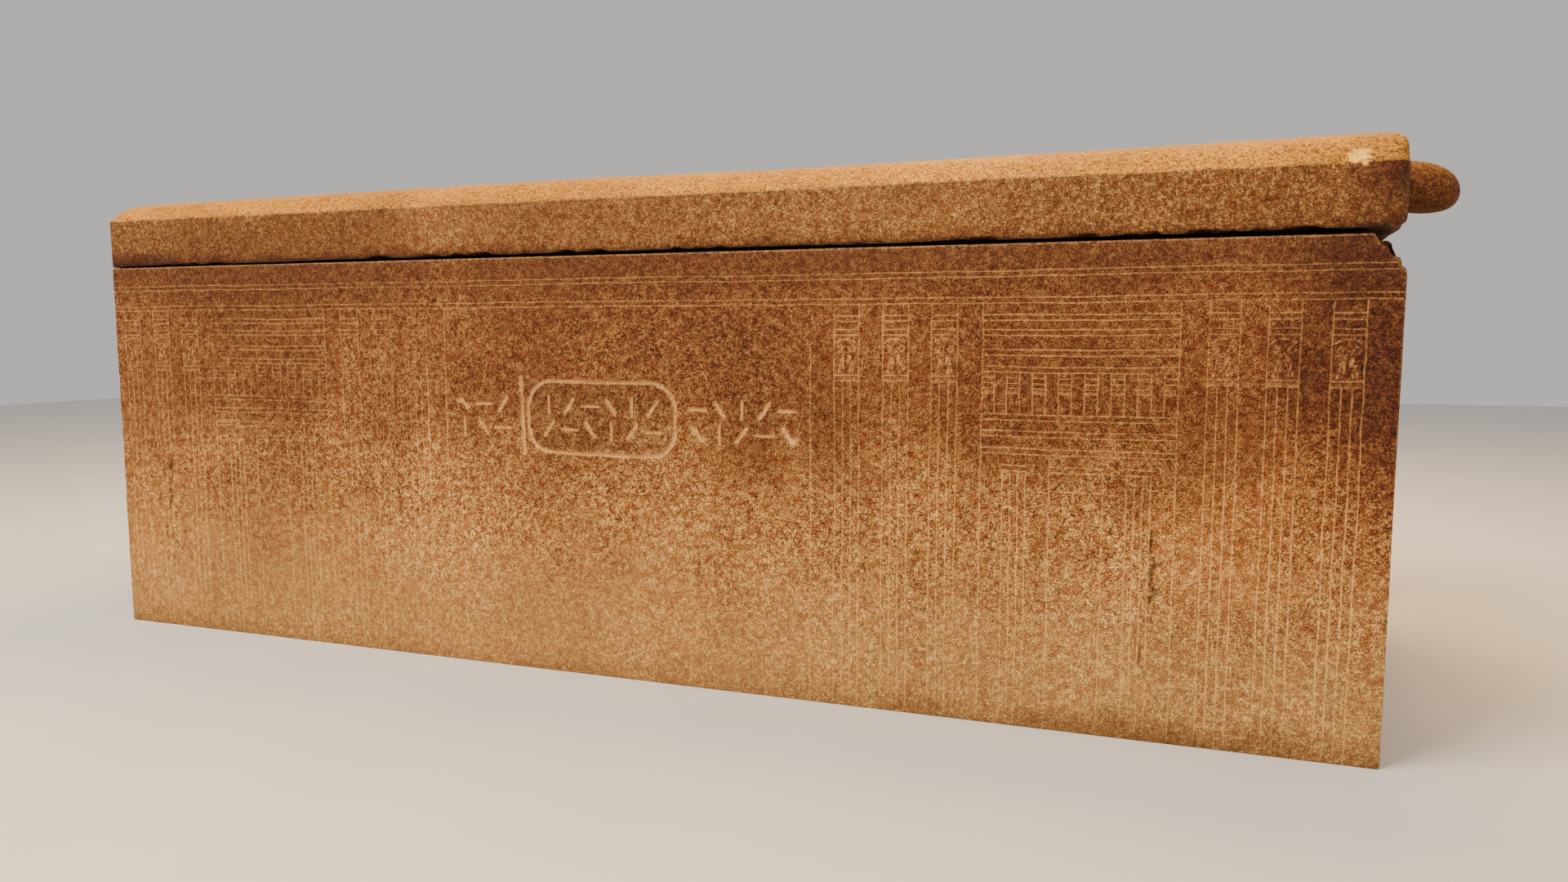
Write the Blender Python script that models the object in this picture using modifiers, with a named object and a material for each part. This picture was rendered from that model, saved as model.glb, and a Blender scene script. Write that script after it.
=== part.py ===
"""Granite sarcophagus: a hollow coffer with an incised palace front, and a loose vaulted lid.

Metres, +Z up. The origin is the middle of the coffer's underside, X runs along the
length and the carved front faces -Y.
"""

from math import atan2, cos, pi, radians, sin, sqrt, tau

import bmesh
import bpy
from mathutils import Matrix, Vector

# Coffer
COFFER_LENGTH = 2.5
COFFER_WIDTH = 0.96
COFFER_HEIGHT = 0.786
SIDE_WALL = 0.155
END_WALL = 0.18
FLOOR_THICKNESS = 0.19

# Lid
SEAT_GAP = 0.0003
LID_FACE_HEIGHT = 0.0987
LID_RELIEF_HEIGHT = 0.009
LID_RELIEF_DEPTH = 0.045
LID_RELIEF_SLOPE = 0.012
LID_RELIEF_FALL = 0.0015
VAULT_RADIUS = 1.86
VAULT_STEPS = 14
SHOULDER_WIDTH = 0.062
SHOULDER_HEIGHT = 0.0395
SHOULDER_CORNER = (0.57, 0.85)
SHOULDER_STEPS = 5

# Lifting bosses, two on each end of the lid
BOSS_RADIUS = 0.0415
BOSS_REACH = 0.112
BOSS_DOME = 0.062
BOSS_ROOT = 0.03
BOSS_SPACING = 0.46
BOSS_HEIGHT_ABOVE_LID_SEAT = 0.0925
BOSS_DROOP = radians(4)
BOSS_SIDES = 20
BOSS_DOME_STEPS = 5

# Incised lines
LINE_WIDTH = 0.0042
LINE_DEPTH = 0.0026
LINE_CLEARANCE = 0.0022
LINE_OUTREACH = 0.0005
PAIR_GAP = 0.009
RING_WIDTH = 0.009

# Palace front, as drops below the rim
UPPER_BAND_DROP = 0.0465
LOWER_BAND_DROP = 0.0885
PAIR_PITCH = 0.0275
DOOR_UPPER_PAIRS = 4
DOOR_LOWER_PAIRS = 3
SLOT_ROW_HEIGHT = 0.077
LINTEL_DROP = 0.393
KNOT_HEIGHT = 0.073
KNOT_LINE_WIDTH = 0.003
FOOT_MARGIN = 0.022
BAND_END_MARGIN = 0.012

# Palace front, across
DOOR_WIDTH = 0.299
SLOT_WIDTH = 0.02
SLOT_COUNT = 8
LEAF_OFFSET = 0.0955
LEAF_WIDTH = 0.036
LEAF_LINES = 4
LINTEL_WIDTH = 0.082
PANEL_WIDTH = 0.043
PANEL_PITCH = 0.083
PANEL_DOOR_GAP = 0.0405
PANELS_EACH_SIDE = 3
PANEL_LINES = 4
JAMB_OFFSET = 0.441
LEFT_UNIT_MARGIN = 0.029
RIGHT_UNIT_MARGIN = 0.049

# Ring and strokes in the middle of the front
RING_CENTRE_X = -0.0465
RING_CENTRE_DROP = 0.2995
RING_LENGTH = 0.304
RING_HEIGHT = 0.134
RING_CORNER = 0.05
RING_CORNER_STEPS = 6
RING_BAR_GAP = 0.014
RING_BAR_LENGTH = 0.15
STROKE_LENGTH = 0.034
STROKE_PITCH = 0.043
STROKE_ROWS = 2
STROKE_ROW_PITCH = 0.044
STROKES_LEFT = 3
STROKES_IN_RING = 6
STROKES_RIGHT = 5
STROKE_WIDTH = 0.007

# Breaks
CORNER_BREAK_LENGTH = 0.045
CORNER_BREAK_DROP = 0.06
CORNER_BREAK_DEPTH = 0.15
SPALL_FROM_END = 0.067
SPALL_LENGTH = 0.06
SPALL_HEIGHT = 0.009
SPALL_WIDTH = 0.05
LID_CORNER_BREAK = 0.023

# Chips off the lid's lower front arris: distance from the right end, length, height
SEAM_CHIPS = (
    (0.605, 0.11, 0.007),
    (0.44, 0.075, 0.009),
    (0.345, 0.06, 0.013),
    (0.262, 0.085, 0.014),
    (0.15, 0.07, 0.008),
)
SEAM_CHIP_DEPTH = 0.014

# Lengths that follow from the sizes above
LID_SEAT = COFFER_HEIGHT + SEAT_GAP
LID_ARRIS = LID_SEAT + LID_FACE_HEIGHT
UNIT_HALF_WIDTH = DOOR_WIDTH / 2 + PANEL_DOOR_GAP + PANEL_WIDTH + (PANELS_EACH_SIDE - 1) * PANEL_PITCH
HOLLOW_OVERRUN = 0.02

GRANITE_COFFER = ("granite_coffer", (0.36, 0.165, 0.066), 0.62)
GRANITE_LID = ("granite_lid", (0.42, 0.215, 0.09), 0.7)


def clear_scene():
    """Removes every object, so that the script can be run twice."""
    for old in list(bpy.data.objects):
        bpy.data.objects.remove(old)


def new_collection(name):
    """A collection linked to the scene."""
    made = bpy.data.collections.new(name)
    bpy.context.scene.collection.children.link(made)
    return made


def stone(name, colour, roughness):
    """A Principled material in the stone's plain colour."""
    material = bpy.data.materials.new(name)
    material.use_nodes = True
    shader = material.node_tree.nodes["Principled BSDF"]
    shader.inputs["Base Color"].default_value = (*colour, 1.0)
    shader.inputs["Roughness"].default_value = roughness
    shader.inputs["Metallic"].default_value = 0.0
    return material


def mesh_object(name, bm, collection):
    """An object made from a bmesh, which is freed."""
    mesh = bpy.data.meshes.new(name)
    bm.to_mesh(mesh)
    bm.free()
    made = bpy.data.objects.new(name, mesh)
    collection.objects.link(made)
    return made


def mesh_from_curve(curve_object, collection):
    """Replaces a curve object by a mesh object of the same name, with its caps welded."""
    name = curve_object.name
    bpy.context.view_layer.update()
    evaluated = curve_object.evaluated_get(bpy.context.evaluated_depsgraph_get())
    mesh = bpy.data.meshes.new_from_object(evaluated)
    place = curve_object.matrix_world.copy()
    bpy.data.objects.remove(curve_object)
    bm = bmesh.new()
    bm.from_mesh(mesh)
    bmesh.ops.remove_doubles(bm, verts=bm.verts, dist=1e-5)
    bmesh.ops.recalc_face_normals(bm, faces=bm.faces)
    bm.to_mesh(mesh)
    bm.free()
    made = bpy.data.objects.new(name, mesh)
    made.matrix_world = place
    collection.objects.link(made)
    return made


def block(name, size, centre, collection):
    """A rectangular block."""
    bm = bmesh.new()
    bmesh.ops.create_cube(bm, size=1.0, matrix=Matrix.Translation(centre) @ Matrix.Diagonal((*size, 1.0)))
    return mesh_object(name, bm, collection)


def hide_cutter(cutter):
    """Marks an object as a cutter."""
    cutter.hide_render = True
    cutter.display_type = "WIRE"


def boolean(target, other, operation):
    """A Boolean modifier, with the other object kept as a cutter."""
    modifier = target.modifiers.new(other.name, "BOOLEAN")
    modifier.operation = operation
    modifier.object = other
    modifier.solver = "EXACT"
    hide_cutter(other)
    return modifier


class Face:
    """One upright face of the coffer: points on it are (along, drop) from its top middle."""

    def __init__(self, name, half_length, distance, turn):
        self.name = name
        self.half_length = half_length
        self.frame = (
            Matrix.Rotation(turn, 4, "Z")
            @ Matrix.Translation((0.0, -distance, COFFER_HEIGHT))
        )
        self.bm = bmesh.new()

    def stroke(self, start, end, width=LINE_WIDTH, depth=LINE_DEPTH):
        """Adds the cutter of one V-shaped line between two (along, drop) points."""
        x0, drop0 = start
        x1, drop1 = end
        run = Vector((x1 - x0, 0.0, drop0 - drop1))
        middle = Vector(((x0 + x1) / 2, 0.0, -(drop0 + drop1) / 2))
        # A three-sided prism of radius 1 reaches 1 to its edge and 0.5 to its far side,
        # where it is sqrt(3) wide. The edge goes into the stone and the far side stays out.
        full = depth + LINE_OUTREACH
        thick = full / 1.5
        wide = width * full / depth / sqrt(3.0)
        along = run.normalized()
        inward = Vector((0.0, 1.0, 0.0))
        across = inward.cross(along)
        axes = Matrix((inward * thick, across * wide, along)).transposed().to_4x4()
        place = Matrix.Translation(middle - inward * (thick - depth)) @ axes
        bmesh.ops.create_cone(
            self.bm, cap_ends=True, segments=3, radius1=1.0, radius2=1.0, depth=run.length,
            matrix=self.frame @ place @ Matrix.Rotation(-pi / 2, 4, "Z"),
        )

    def level(self, x0, x1, drop):
        """A level line."""
        self.stroke((x0, drop), (x1, drop))

    def upright(self, x, top, foot):
        """An upright line."""
        self.stroke((x, top), (x, foot))

    def level_pair(self, x0, x1, drop):
        """Two level lines, one just above and one just below a drop."""
        for side in (-0.5, 0.5):
            self.level(x0, x1, drop + side * PAIR_GAP)

    def cut(self, coffer, collection):
        """Turns the strokes into one cutter and takes it out of the coffer."""
        bmesh.ops.recalc_face_normals(self.bm, faces=self.bm.faces)
        cutter = mesh_object(f"carving_{self.name}", self.bm, collection)
        # Lines may cross, so the cutter is read as a union of its strokes.
        boolean(coffer, cutter, "DIFFERENCE").use_self = True


def foot_drop():
    """The drop of the lower ends of the upright lines."""
    return COFFER_HEIGHT - FOOT_MARGIN


def pair_end(drop):
    """The drop just under a pair of lines, where an upright line can start."""
    return drop + PAIR_GAP / 2 + LINE_WIDTH / 2 + LINE_CLEARANCE


def bands(face):
    """The two pairs of lines that run along under the rim."""
    reach = face.half_length - BAND_END_MARGIN
    # The upper pair stops short of the corner that may be broken.
    face.level_pair(-reach, reach - CORNER_BREAK_LENGTH, UPPER_BAND_DROP)
    face.level_pair(-reach, reach, LOWER_BAND_DROP)


def knot(face, x, top):
    """Tied plants: two loops above a tie, and two pairs of stalks that spread below it."""
    loops = top + 0.2 * KNOT_HEIGHT
    tie = top + 0.4 * KNOT_HEIGHT
    foot = top + 0.84 * KNOT_HEIGHT
    face.stroke((x - 0.3 * PANEL_WIDTH, tie), (x + 0.3 * PANEL_WIDTH, tie), KNOT_LINE_WIDTH)
    start = tie + KNOT_LINE_WIDTH / 2 + LINE_CLEARANCE
    for side in (-1, 1):
        outer = x + side * 0.24 * PANEL_WIDTH
        inner = x + side * 0.08 * PANEL_WIDTH
        face.stroke((inner, tie - KNOT_LINE_WIDTH), (outer, loops), KNOT_LINE_WIDTH)
        for near, far in ((0.07, 0.16), (0.19, 0.33)):
            root = x + side * near * PANEL_WIDTH
            tip = x + side * far * PANEL_WIDTH
            face.stroke((root, start), (tip, foot), KNOT_LINE_WIDTH)


def narrow_panel(face, x, plain):
    """A tall narrow panel: outer lines full height, pairs of cross lines, inner lines below the knot."""
    start = pair_end(LOWER_BAND_DROP)
    inside = PANEL_WIDTH / 2 - LINE_WIDTH / 2 - LINE_CLEARANCE
    first = LOWER_BAND_DROP + PAIR_PITCH
    second = first + PAIR_PITCH
    third = second + KNOT_HEIGHT
    for side in (-1, 1):
        face.upright(x + side * PANEL_WIDTH / 2, start, foot_drop())
    face.level_pair(x - inside, x + inside, third)
    if plain:
        return
    for number in range(1, PANEL_LINES - 1):
        line_x = x + PANEL_WIDTH * (number / (PANEL_LINES - 1) - 0.5)
        face.upright(line_x, pair_end(third), foot_drop())
    for drop in (first, second):
        face.level_pair(x - inside, x + inside, drop)
    knot(face, x, second)


def door(face, x, plain):
    """The wide middle panel, with its cross lines, its row of slots and its two leaves below."""
    half = DOOR_WIDTH / 2
    inside = half - LINE_WIDTH / 2 - LINE_CLEARANCE
    for side in (-1, 1):
        face.upright(x + side * half, pair_end(LOWER_BAND_DROP), foot_drop())
    drop = LOWER_BAND_DROP
    for _ in range(DOOR_UPPER_PAIRS):
        drop += PAIR_PITCH
        face.level_pair(x - inside, x + inside, drop)
    if not plain:
        slot_row(face, x, pair_end(drop), drop + SLOT_ROW_HEIGHT)
    drop += SLOT_ROW_HEIGHT
    for number in range(DOOR_LOWER_PAIRS):
        face.level_pair(x - inside, x + inside, drop + number * PAIR_PITCH)
    drop += (DOOR_LOWER_PAIRS - 1) * PAIR_PITCH
    leaves(face, x, pair_end(drop), drop + PAIR_PITCH)


def slot_row(face, x, top, next_pair):
    """Small upright slots between two pairs of cross lines, evenly spaced across the door."""
    foot = next_pair - PAIR_GAP / 2 - LINE_WIDTH / 2 - LINE_CLEARANCE
    first = x - DOOR_WIDTH / 2
    pitch = (DOOR_WIDTH - SLOT_WIDTH) / (SLOT_COUNT - 1)
    for number in range(SLOT_COUNT):
        left = first + number * pitch
        if number > 0:
            face.upright(left, top, foot)
        if number < SLOT_COUNT - 1:
            face.upright(left + SLOT_WIDTH, top, foot)


def leaves(face, x, top, pair_drop):
    """The lowest part of the door: two leaves of close upright lines beside a blank middle."""
    for side in (-1, 1):
        middle = x + side * LEAF_OFFSET
        for number in range(LEAF_LINES):
            line_x = middle + LEAF_WIDTH * (number / (LEAF_LINES - 1) - 0.5)
            face.upright(line_x, pair_end(pair_drop), foot_drop())
        face.level_pair(middle - LEAF_WIDTH / 2, middle + LEAF_WIDTH / 2, pair_drop)
        face.upright(x + side * LINTEL_WIDTH / 2, top, foot_drop())
    inside = LINTEL_WIDTH / 2 - LINE_WIDTH / 2 - LINE_CLEARANCE
    face.level_pair(x - inside, x + inside, pair_drop)
    face.level(x - inside, x + inside, LINTEL_DROP)


def palace_front(face, x, plain=False):
    """One palace front: a door with narrow panels on both sides."""
    door(face, x, plain)
    for side in (-1, 1):
        for number in range(PANELS_EACH_SIDE):
            offset = DOOR_WIDTH / 2 + PANEL_DOOR_GAP + PANEL_WIDTH / 2 + number * PANEL_PITCH
            narrow_panel(face, x + side * offset, plain)


def ring_path():
    """Points of the ring's middle line, as (along, drop): straight sides and round corners."""
    points = []
    for quarter in range(4):
        sign_x = (1, -1, -1, 1)[quarter]
        sign_z = (1, 1, -1, -1)[quarter]
        centre_x = RING_CENTRE_X + sign_x * (RING_LENGTH / 2 - RING_CORNER)
        centre_drop = RING_CENTRE_DROP - sign_z * (RING_HEIGHT / 2 - RING_CORNER)
        for step in range(RING_CORNER_STEPS + 1):
            angle = (quarter + step / RING_CORNER_STEPS) * pi / 2
            points.append((centre_x + RING_CORNER * cos(angle), centre_drop - RING_CORNER * sin(angle)))
    return points


def ring_cutter(face, collection):
    """A closed four-sided tube along the ring, half buried in the face."""
    curve = bpy.data.curves.new("ring", "CURVE")
    curve.dimensions = "3D"
    curve.bevel_depth = RING_WIDTH / 2
    curve.bevel_resolution = 0
    spline = curve.splines.new("POLY")
    path = ring_path()
    spline.points.add(len(path) - 1)
    for point, (x, drop) in zip(spline.points, path):
        point.co = (*(face.frame @ Vector((x, 0.0, -drop))), 1.0)
    spline.use_cyclic_u = True
    made = bpy.data.objects.new("ring", curve)
    collection.objects.link(made)
    return mesh_from_curve(made, collection)


def stroke_row(face, start_x, step, drop, count, kinds):
    """A level row of short strokes that are no letters: upright, leaning and flat in turn."""
    for number in range(count):
        lean = radians((0, 35, 90, -35)[(number + kinds) % 4])
        middle = start_x + number * step
        half = STROKE_LENGTH / 2
        start = (middle - half * sin(lean), drop - half * cos(lean))
        end = (middle + half * sin(lean), drop + half * cos(lean))
        face.stroke(start, end, STROKE_WIDTH)


def inscription(face):
    """The ring's bar, and rows of strokes in the ring and on both sides of it."""
    bar_x = RING_CENTRE_X - RING_LENGTH / 2 - RING_BAR_GAP
    half_bar = RING_BAR_LENGTH / 2
    face.stroke((bar_x, RING_CENTRE_DROP - half_bar), (bar_x, RING_CENTRE_DROP + half_bar), STROKE_WIDTH)
    ring_end = RING_CENTRE_X + RING_LENGTH / 2
    inside_start = RING_CENTRE_X - (STROKES_IN_RING - 1) / 2 * STROKE_PITCH
    for row in range(STROKE_ROWS):
        drop = RING_CENTRE_DROP + (row - (STROKE_ROWS - 1) / 2) * STROKE_ROW_PITCH
        stroke_row(face, inside_start, STROKE_PITCH, drop, STROKES_IN_RING, row)
        stroke_row(face, bar_x - STROKE_PITCH, -STROKE_PITCH, drop, STROKES_LEFT, row + 1)
        stroke_row(face, ring_end + STROKE_PITCH, STROKE_PITCH, drop, STROKES_RIGHT, row + 2)


def carve_front(coffer, collection):
    """The front: bands, two palace fronts, and the ring between them."""
    face = Face("front", COFFER_LENGTH / 2, COFFER_WIDTH / 2, 0.0)
    bands(face)
    left = -COFFER_LENGTH / 2 + LEFT_UNIT_MARGIN + UNIT_HALF_WIDTH
    right = COFFER_LENGTH / 2 - RIGHT_UNIT_MARGIN - UNIT_HALF_WIDTH
    for x, inner in ((left, 1), (right, -1)):
        palace_front(face, x)
        face.upright(x + inner * JAMB_OFFSET, pair_end(LOWER_BAND_DROP), foot_drop())
    inscription(face)
    ring = ring_cutter(face, collection)
    face.cut(coffer, collection)
    boolean(coffer, ring, "DIFFERENCE")


def carve_other_sides(coffer, collection):
    """The back and ends: the same palace front, plainer, with no knots and no ring."""
    back = Face("back", COFFER_LENGTH / 2, COFFER_WIDTH / 2, pi)
    bands(back)
    for side in (-1, 1):
        middle = side * (COFFER_LENGTH / 2 - RIGHT_UNIT_MARGIN - UNIT_HALF_WIDTH)
        palace_front(back, middle, plain=True)
    back.cut(coffer, collection)
    for name, turn in (("right_end", pi / 2), ("left_end", -pi / 2)):
        end = Face(name, COFFER_WIDTH / 2, COFFER_LENGTH / 2, turn)
        bands(end)
        door(end, 0.0, plain=True)
        end.cut(coffer, collection)


def corner_break(coffer, collection):
    """The lost upper corner at the front right: two rough lumps, the lower one shorter."""
    corner = Vector((COFFER_LENGTH / 2, -COFFER_WIDTH / 2, COFFER_HEIGHT))
    for number, (length_share, drop_share) in enumerate(((1.0, 0.5), (0.5, 1.0))):
        size = (
            length_share * CORNER_BREAK_LENGTH,
            CORNER_BREAK_DEPTH / (number + 1),
            drop_share * CORNER_BREAK_DROP,
        )
        bm = bmesh.new()
        bmesh.ops.create_icosphere(
            bm, subdivisions=2, radius=1.0,
            matrix=Matrix.Translation(corner) @ Matrix.Diagonal((*size, 1.0)),
        )
        boolean(coffer, mesh_object(f"corner_break_{number + 1}", bm, collection), "DIFFERENCE")


def build_coffer(parts, cutters):
    """The coffer: one hollowed block, carved on all four sides."""
    size = (COFFER_LENGTH, COFFER_WIDTH, COFFER_HEIGHT)
    coffer = block("coffer", size, (0.0, 0.0, COFFER_HEIGHT / 2), parts)
    inside_height = COFFER_HEIGHT - FLOOR_THICKNESS + HOLLOW_OVERRUN
    hollow = block(
        "hollow",
        (COFFER_LENGTH - 2 * END_WALL, COFFER_WIDTH - 2 * SIDE_WALL, inside_height),
        (0.0, 0.0, FLOOR_THICKNESS + inside_height / 2),
        cutters,
    )
    boolean(coffer, hollow, "DIFFERENCE")
    carve_front(coffer, cutters)
    carve_other_sides(coffer, cutters)
    corner_break(coffer, cutters)
    coffer.data.materials.append(stone(*GRANITE_COFFER))
    return coffer


def lid_section():
    """Half of the lid's section as (inward from its side, height) points, from the underside up."""
    half = COFFER_WIDTH / 2
    # The underside steps up near the sides, which leaves the thin band of shadow at the seam.
    points = [
        (LID_RELIEF_DEPTH, LID_SEAT),
        (LID_RELIEF_DEPTH - LID_RELIEF_SLOPE, LID_SEAT + LID_RELIEF_HEIGHT - LID_RELIEF_FALL),
        (0.0, LID_SEAT + LID_RELIEF_HEIGHT),
    ]
    # The shoulder is a quadratic curve from the arris to the start of the vault.
    corner = (SHOULDER_WIDTH * SHOULDER_CORNER[0], SHOULDER_HEIGHT * SHOULDER_CORNER[1])
    for step in range(SHOULDER_STEPS):
        t = step / SHOULDER_STEPS
        inward = 2 * t * (1 - t) * corner[0] + t * t * SHOULDER_WIDTH
        rise = 2 * t * (1 - t) * corner[1] + t * t * SHOULDER_HEIGHT
        points.append((inward, LID_ARRIS + rise))
    # The vault is a circular arc whose crown is over the middle.
    spring = LID_ARRIS + SHOULDER_HEIGHT
    crown = spring + vault_sag(half - SHOULDER_WIDTH)
    for step in range(VAULT_STEPS // 2 + 1):
        inward = SHOULDER_WIDTH + (half - SHOULDER_WIDTH) * step / (VAULT_STEPS // 2)
        points.append((inward, crown - vault_sag(half - inward)))
    return points


def vault_sag(offset):
    """How far the vault has dropped below its crown at a distance from the middle."""
    return VAULT_RADIUS - sqrt(VAULT_RADIUS**2 - offset**2)


def lid_block(collection):
    """The lid's section as a flat outline, extruded along the length."""
    half_width = COFFER_WIDTH / 2
    half_section = lid_section()
    outline = [(-half_width + inward, height) for inward, height in half_section]
    outline += [(half_width - inward, height) for inward, height in reversed(half_section[:-1])]
    curve = bpy.data.curves.new("lid", "CURVE")
    curve.dimensions = "2D"
    curve.fill_mode = "BOTH"
    curve.extrude = COFFER_LENGTH / 2
    spline = curve.splines.new("POLY")
    spline.points.add(len(outline) - 1)
    for point, (y, z) in zip(spline.points, outline):
        point.co = (y, z, 0.0, 1.0)
    spline.use_cyclic_u = True
    made = bpy.data.objects.new("lid", curve)
    collection.objects.link(made)
    # The outline's own X, Y and Z become the lid's Y, Z and X.
    made.matrix_world = Matrix(((0, 0, 1, 0), (1, 0, 0, 0), (0, 1, 0, 0), (0, 0, 0, 1)))
    return mesh_from_curve(made, collection)


def boss(name, end, y, collection):
    """One lifting boss: a round stub with a domed end, turned about an axis along X."""
    bm = bmesh.new()
    shank = BOSS_REACH - BOSS_DOME
    profile = [(BOSS_RADIUS, -BOSS_ROOT), (BOSS_RADIUS, shank)]
    for step in range(1, BOSS_DOME_STEPS + 1):
        angle = step / BOSS_DOME_STEPS * pi / 2
        profile.append((BOSS_RADIUS * cos(angle), shank + BOSS_DOME * sin(angle)))
    profile[-1] = (0.0, BOSS_REACH)
    profile.insert(0, (0.0, -BOSS_ROOT))
    # From the tip down to the root, which is the order that turns outwards.
    verts = [bm.verts.new((radius, 0.0, reach)) for radius, reach in reversed(profile)]
    for first, second in zip(verts, verts[1:]):
        bm.edges.new((first, second))
    made = mesh_object(name, bm, collection)
    screw = made.modifiers.new("turn", "SCREW")
    screw.axis = "Z"
    screw.angle = tau
    screw.steps = BOSS_SIDES
    screw.render_steps = BOSS_SIDES
    screw.use_merge_vertices = True
    screw.merge_threshold = 0.00001
    made.location = (end * COFFER_LENGTH / 2, y, LID_SEAT + BOSS_HEIGHT_ABOVE_LID_SEAT)
    made.rotation_euler = (0.0, end * (pi / 2 + BOSS_DROOP), 0.0)
    return made


def lid_breaks(lid, collection):
    """A spall on the shoulder near the right end, chips along the seam, and the worn lower corner."""
    side = -COFFER_WIDTH / 2
    end = COFFER_LENGTH / 2
    bm = bmesh.new()
    slope = atan2(SHOULDER_HEIGHT, SHOULDER_WIDTH)
    place = Vector((end - SPALL_FROM_END, side + SHOULDER_WIDTH / 4, LID_ARRIS + SHOULDER_HEIGHT / 2))
    bmesh.ops.create_icosphere(
        bm, subdivisions=2, radius=1.0,
        matrix=Matrix.Translation(place)
        @ Matrix.Rotation(slope, 4, "X")
        @ Matrix.Diagonal((SPALL_LENGTH / 2, SPALL_WIDTH / 2, SPALL_HEIGHT, 1.0)),
    )
    boolean(lid, mesh_object("spall", bm, collection), "DIFFERENCE")
    for number, (from_end, length, height) in enumerate(SEAM_CHIPS):
        bm = bmesh.new()
        bmesh.ops.create_icosphere(
            bm, subdivisions=1, radius=1.0,
            matrix=Matrix.Translation((end - from_end, side, LID_SEAT + LID_RELIEF_HEIGHT))
            @ Matrix.Diagonal((length / 2, SEAM_CHIP_DEPTH, height, 1.0)),
        )
        boolean(lid, mesh_object(f"seam_chip_{number + 1}", bm, collection), "DIFFERENCE")
    wedge = LID_CORNER_BREAK * sqrt(2.0)
    bm = bmesh.new()
    bmesh.ops.create_cube(
        bm, size=1.0,
        matrix=Matrix.Translation((end, side, LID_SEAT))
        @ Matrix.Rotation(radians(45), 4, "Y")
        @ Matrix.Diagonal((wedge, 4 * LID_CORNER_BREAK, wedge, 1.0)),
    )
    boolean(lid, mesh_object("lower_corner", bm, collection), "DIFFERENCE")


def build_lid(parts, cutters):
    """The lid: one vaulted slab with two bosses on each end."""
    lid = lid_block(parts)
    for end_name, end in (("left", -1), ("right", 1)):
        for side_name, side in (("front", -1), ("back", 1)):
            stub = boss(f"boss_{end_name}_{side_name}", end, side * BOSS_SPACING / 2, cutters)
            boolean(lid, stub, "UNION")
    lid_breaks(lid, cutters)
    lid.data.materials.append(stone(*GRANITE_LID))
    return lid


def main():
    clear_scene()
    parts = new_collection("sarcophagus")
    cutters = new_collection("cutters")
    build_coffer(parts, cutters)
    build_lid(parts, cutters)


main()
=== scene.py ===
from math import pi

import bmesh
import bpy
import numpy as np
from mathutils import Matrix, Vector


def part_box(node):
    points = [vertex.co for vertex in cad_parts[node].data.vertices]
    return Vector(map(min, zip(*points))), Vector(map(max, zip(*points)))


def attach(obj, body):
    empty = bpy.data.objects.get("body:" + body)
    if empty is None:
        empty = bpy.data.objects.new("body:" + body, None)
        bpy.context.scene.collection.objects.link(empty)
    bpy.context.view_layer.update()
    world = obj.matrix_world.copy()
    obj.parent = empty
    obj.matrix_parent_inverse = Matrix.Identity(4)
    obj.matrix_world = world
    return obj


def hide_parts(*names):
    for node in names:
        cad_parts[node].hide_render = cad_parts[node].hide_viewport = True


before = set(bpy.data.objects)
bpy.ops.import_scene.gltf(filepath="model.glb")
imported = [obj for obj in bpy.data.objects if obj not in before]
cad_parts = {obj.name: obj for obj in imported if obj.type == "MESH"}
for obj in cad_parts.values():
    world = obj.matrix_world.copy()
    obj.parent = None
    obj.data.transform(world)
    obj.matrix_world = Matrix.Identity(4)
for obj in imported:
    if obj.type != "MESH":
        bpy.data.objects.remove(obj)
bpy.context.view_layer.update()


# The coffer: one block of red-brown granite, ground flat outside and hollowed from above.
# Fine lines are scratched into its faces: level pairs under the rim, palace fronts with a door
# and narrow panels, and on the front a ring between them. Its top corner at the right is lost.

coffer_low, coffer_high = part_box("coffer")
HALF_LENGTH = coffer_high[0]
HALF_WIDTH = coffer_high[1]
RIM = coffer_high[2]
CORNER_RADIUS = 0.004
ARRIS_RADIUS = 0.004
LIP_RADIUS = 0.006
UNDER_RADIUS = 0.003
SIDE_WALL = 0.155
END_WALL = 0.18
FLOOR_TOP = 0.19
UP = (0.0, 0.0, 1.0)
DOWN = (0.0, 0.0, -1.0)

LINE_WIDTH = 0.0034
LINE_DEPTH = 0.0013
PAIR_GAP = 0.009
FOOT = 0.022


def share_of(value, start, end):
    """How far a value has gone from the start to the end, held between 0 and 1."""
    return ((value - start) / (end - start)).clip(0.0, 1.0)


def eased(share):
    """A share from 0 to 1 that starts and ends gently: 3t^2 - 2t^3."""
    return share * share * (3.0 - 2.0 * share)


def lattice_noise(points, cell, seed):
    """Smooth noise from -1 to 1: random values at the corners of cubes of the cell size, blended
    across each cube with eased weights. Points may be a list, or rows of them."""
    table = np.random.default_rng(seed).uniform(-1.0, 1.0, (64, 64, 64))
    place = points / cell
    whole = np.floor(place).astype(int)
    part = eased(place - whole)
    total = np.zeros(points.shape[:-1])
    for corner in np.ndindex(2, 2, 2):
        index = (whole + corner) % 64
        weight = np.prod(np.where(corner, part, 1.0 - part), axis=-1)
        total += weight * table[index[..., 0], index[..., 1], index[..., 2]]
    return total


def layered_noise(points, layers, seed):
    """The sum of noises, each given as (height, cell size), with seeds that count up."""
    return sum(height * lattice_noise(points, cell, seed + k) for k, (height, cell) in enumerate(layers))


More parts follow.
